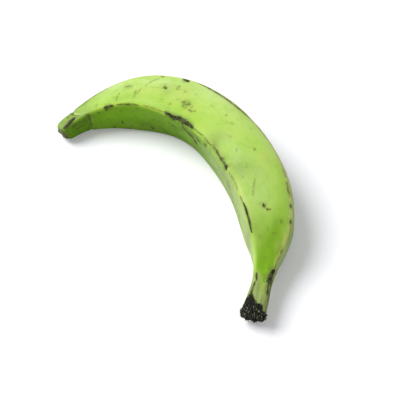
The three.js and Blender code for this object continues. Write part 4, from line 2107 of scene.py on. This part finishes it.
# How far each crust reaches back from its end, by the angle round the section.
STEM_EDGE: Table = (
    (0, 4), (18, 3), (30, 1.8), (39, 2.2), (47, 6), (55, 6.3), (65, 5.5), (80, 6.2), (92, 7.5),
    (102, 9.5), (115, 12), (128, 10), (150, 6), (200, 7), (250, 5), (300, 7.5), (335, 5),
)
BLOSSOM_EDGE: Table = (
    (0, 0.9), (40, 0.5), (80, 0.6), (110, 1.1), (135, 1.0), (180, 0.8), (230, 1.1), (280, 0.6),
    (330, 1.0),
)


def main() -> None:
    """Build the fruit from the skin outwards, then the studio round it."""
    logging.basicConfig(level=logging.INFO, format="%(name)s: %(message)s")
    Effects().build()
    form = FruitForm()
    sweeper = Sweeper(form)

    marks = tuple(mark(*row) for row in MARK_ROWS)
    blotches = blotches_of(DULL_AND_SHADE_BLOTCHES)
    for stray in STRAY_MARKS:
        marks += stray.marks()
        blotches += stray.blotches()
    Peel(form, sweeper, PeelFinish(), marks, blotches, crust_edge=STEM_EDGE).build()

    crust = CrustFinish("stem_crust").material()
    knob = CrustFinish(
        "stem_knobs", dark=(0.014, 0.014, 0.009), brown=(0.06, 0.06, 0.04), fleck=(0.72, 0.75, 0.58),
        flecks=0.95, fleck_size=0.6,
    ).material()
    fibre = CrustFinish(
        "dry_fibre", dark=(0.16, 0.17, 0.11), brown=(0.6, 0.61, 0.46), fleck=(0.8, 0.81, 0.68)
    ).material()
    scar = CrustFinish(
        "blossom_crust", dark=(0.17, 0.165, 0.085), brown=(0.30, 0.28, 0.16), fleck=(0.40, 0.38, 0.28)
    ).material()

    stem = EndCrust(End.STEM, "stem_crust", "stem_end", form, sweeper, STEM_EDGE, CrustRelief())
    stem_crust = stem.build(crust)
    fibre_tree = Fibres.tree()
    Crumbs("stem_crumbs", "stem_end").build(stem_crust, Crumbs.tree(), knob)
    Fibres("stem_fibres", "stem_end").build(stem_crust, fibre_tree, fibre)

    relief = CrustRelief(thickness=0.1, buried=1.0, ragged=0.6, lumps=0.25, lump_size=1.6, flare=0.05)
    tip = EndCrust(
        End.BLOSSOM, "blossom_scar", "blossom_scar", form, sweeper, BLOSSOM_EDGE, relief,
        step=0.22, sides=150, reach=9.0, seed=63,
    )
    bristles = Fibres("blossom_bristles", "blossom_scar", spacing=0.9, lengths=(0.4, 1.1), radius=0.12)
    bristles.build(tip.build(scar), fibre_tree, scar)

    Studio().build()


if __name__ == "__main__":
    main()
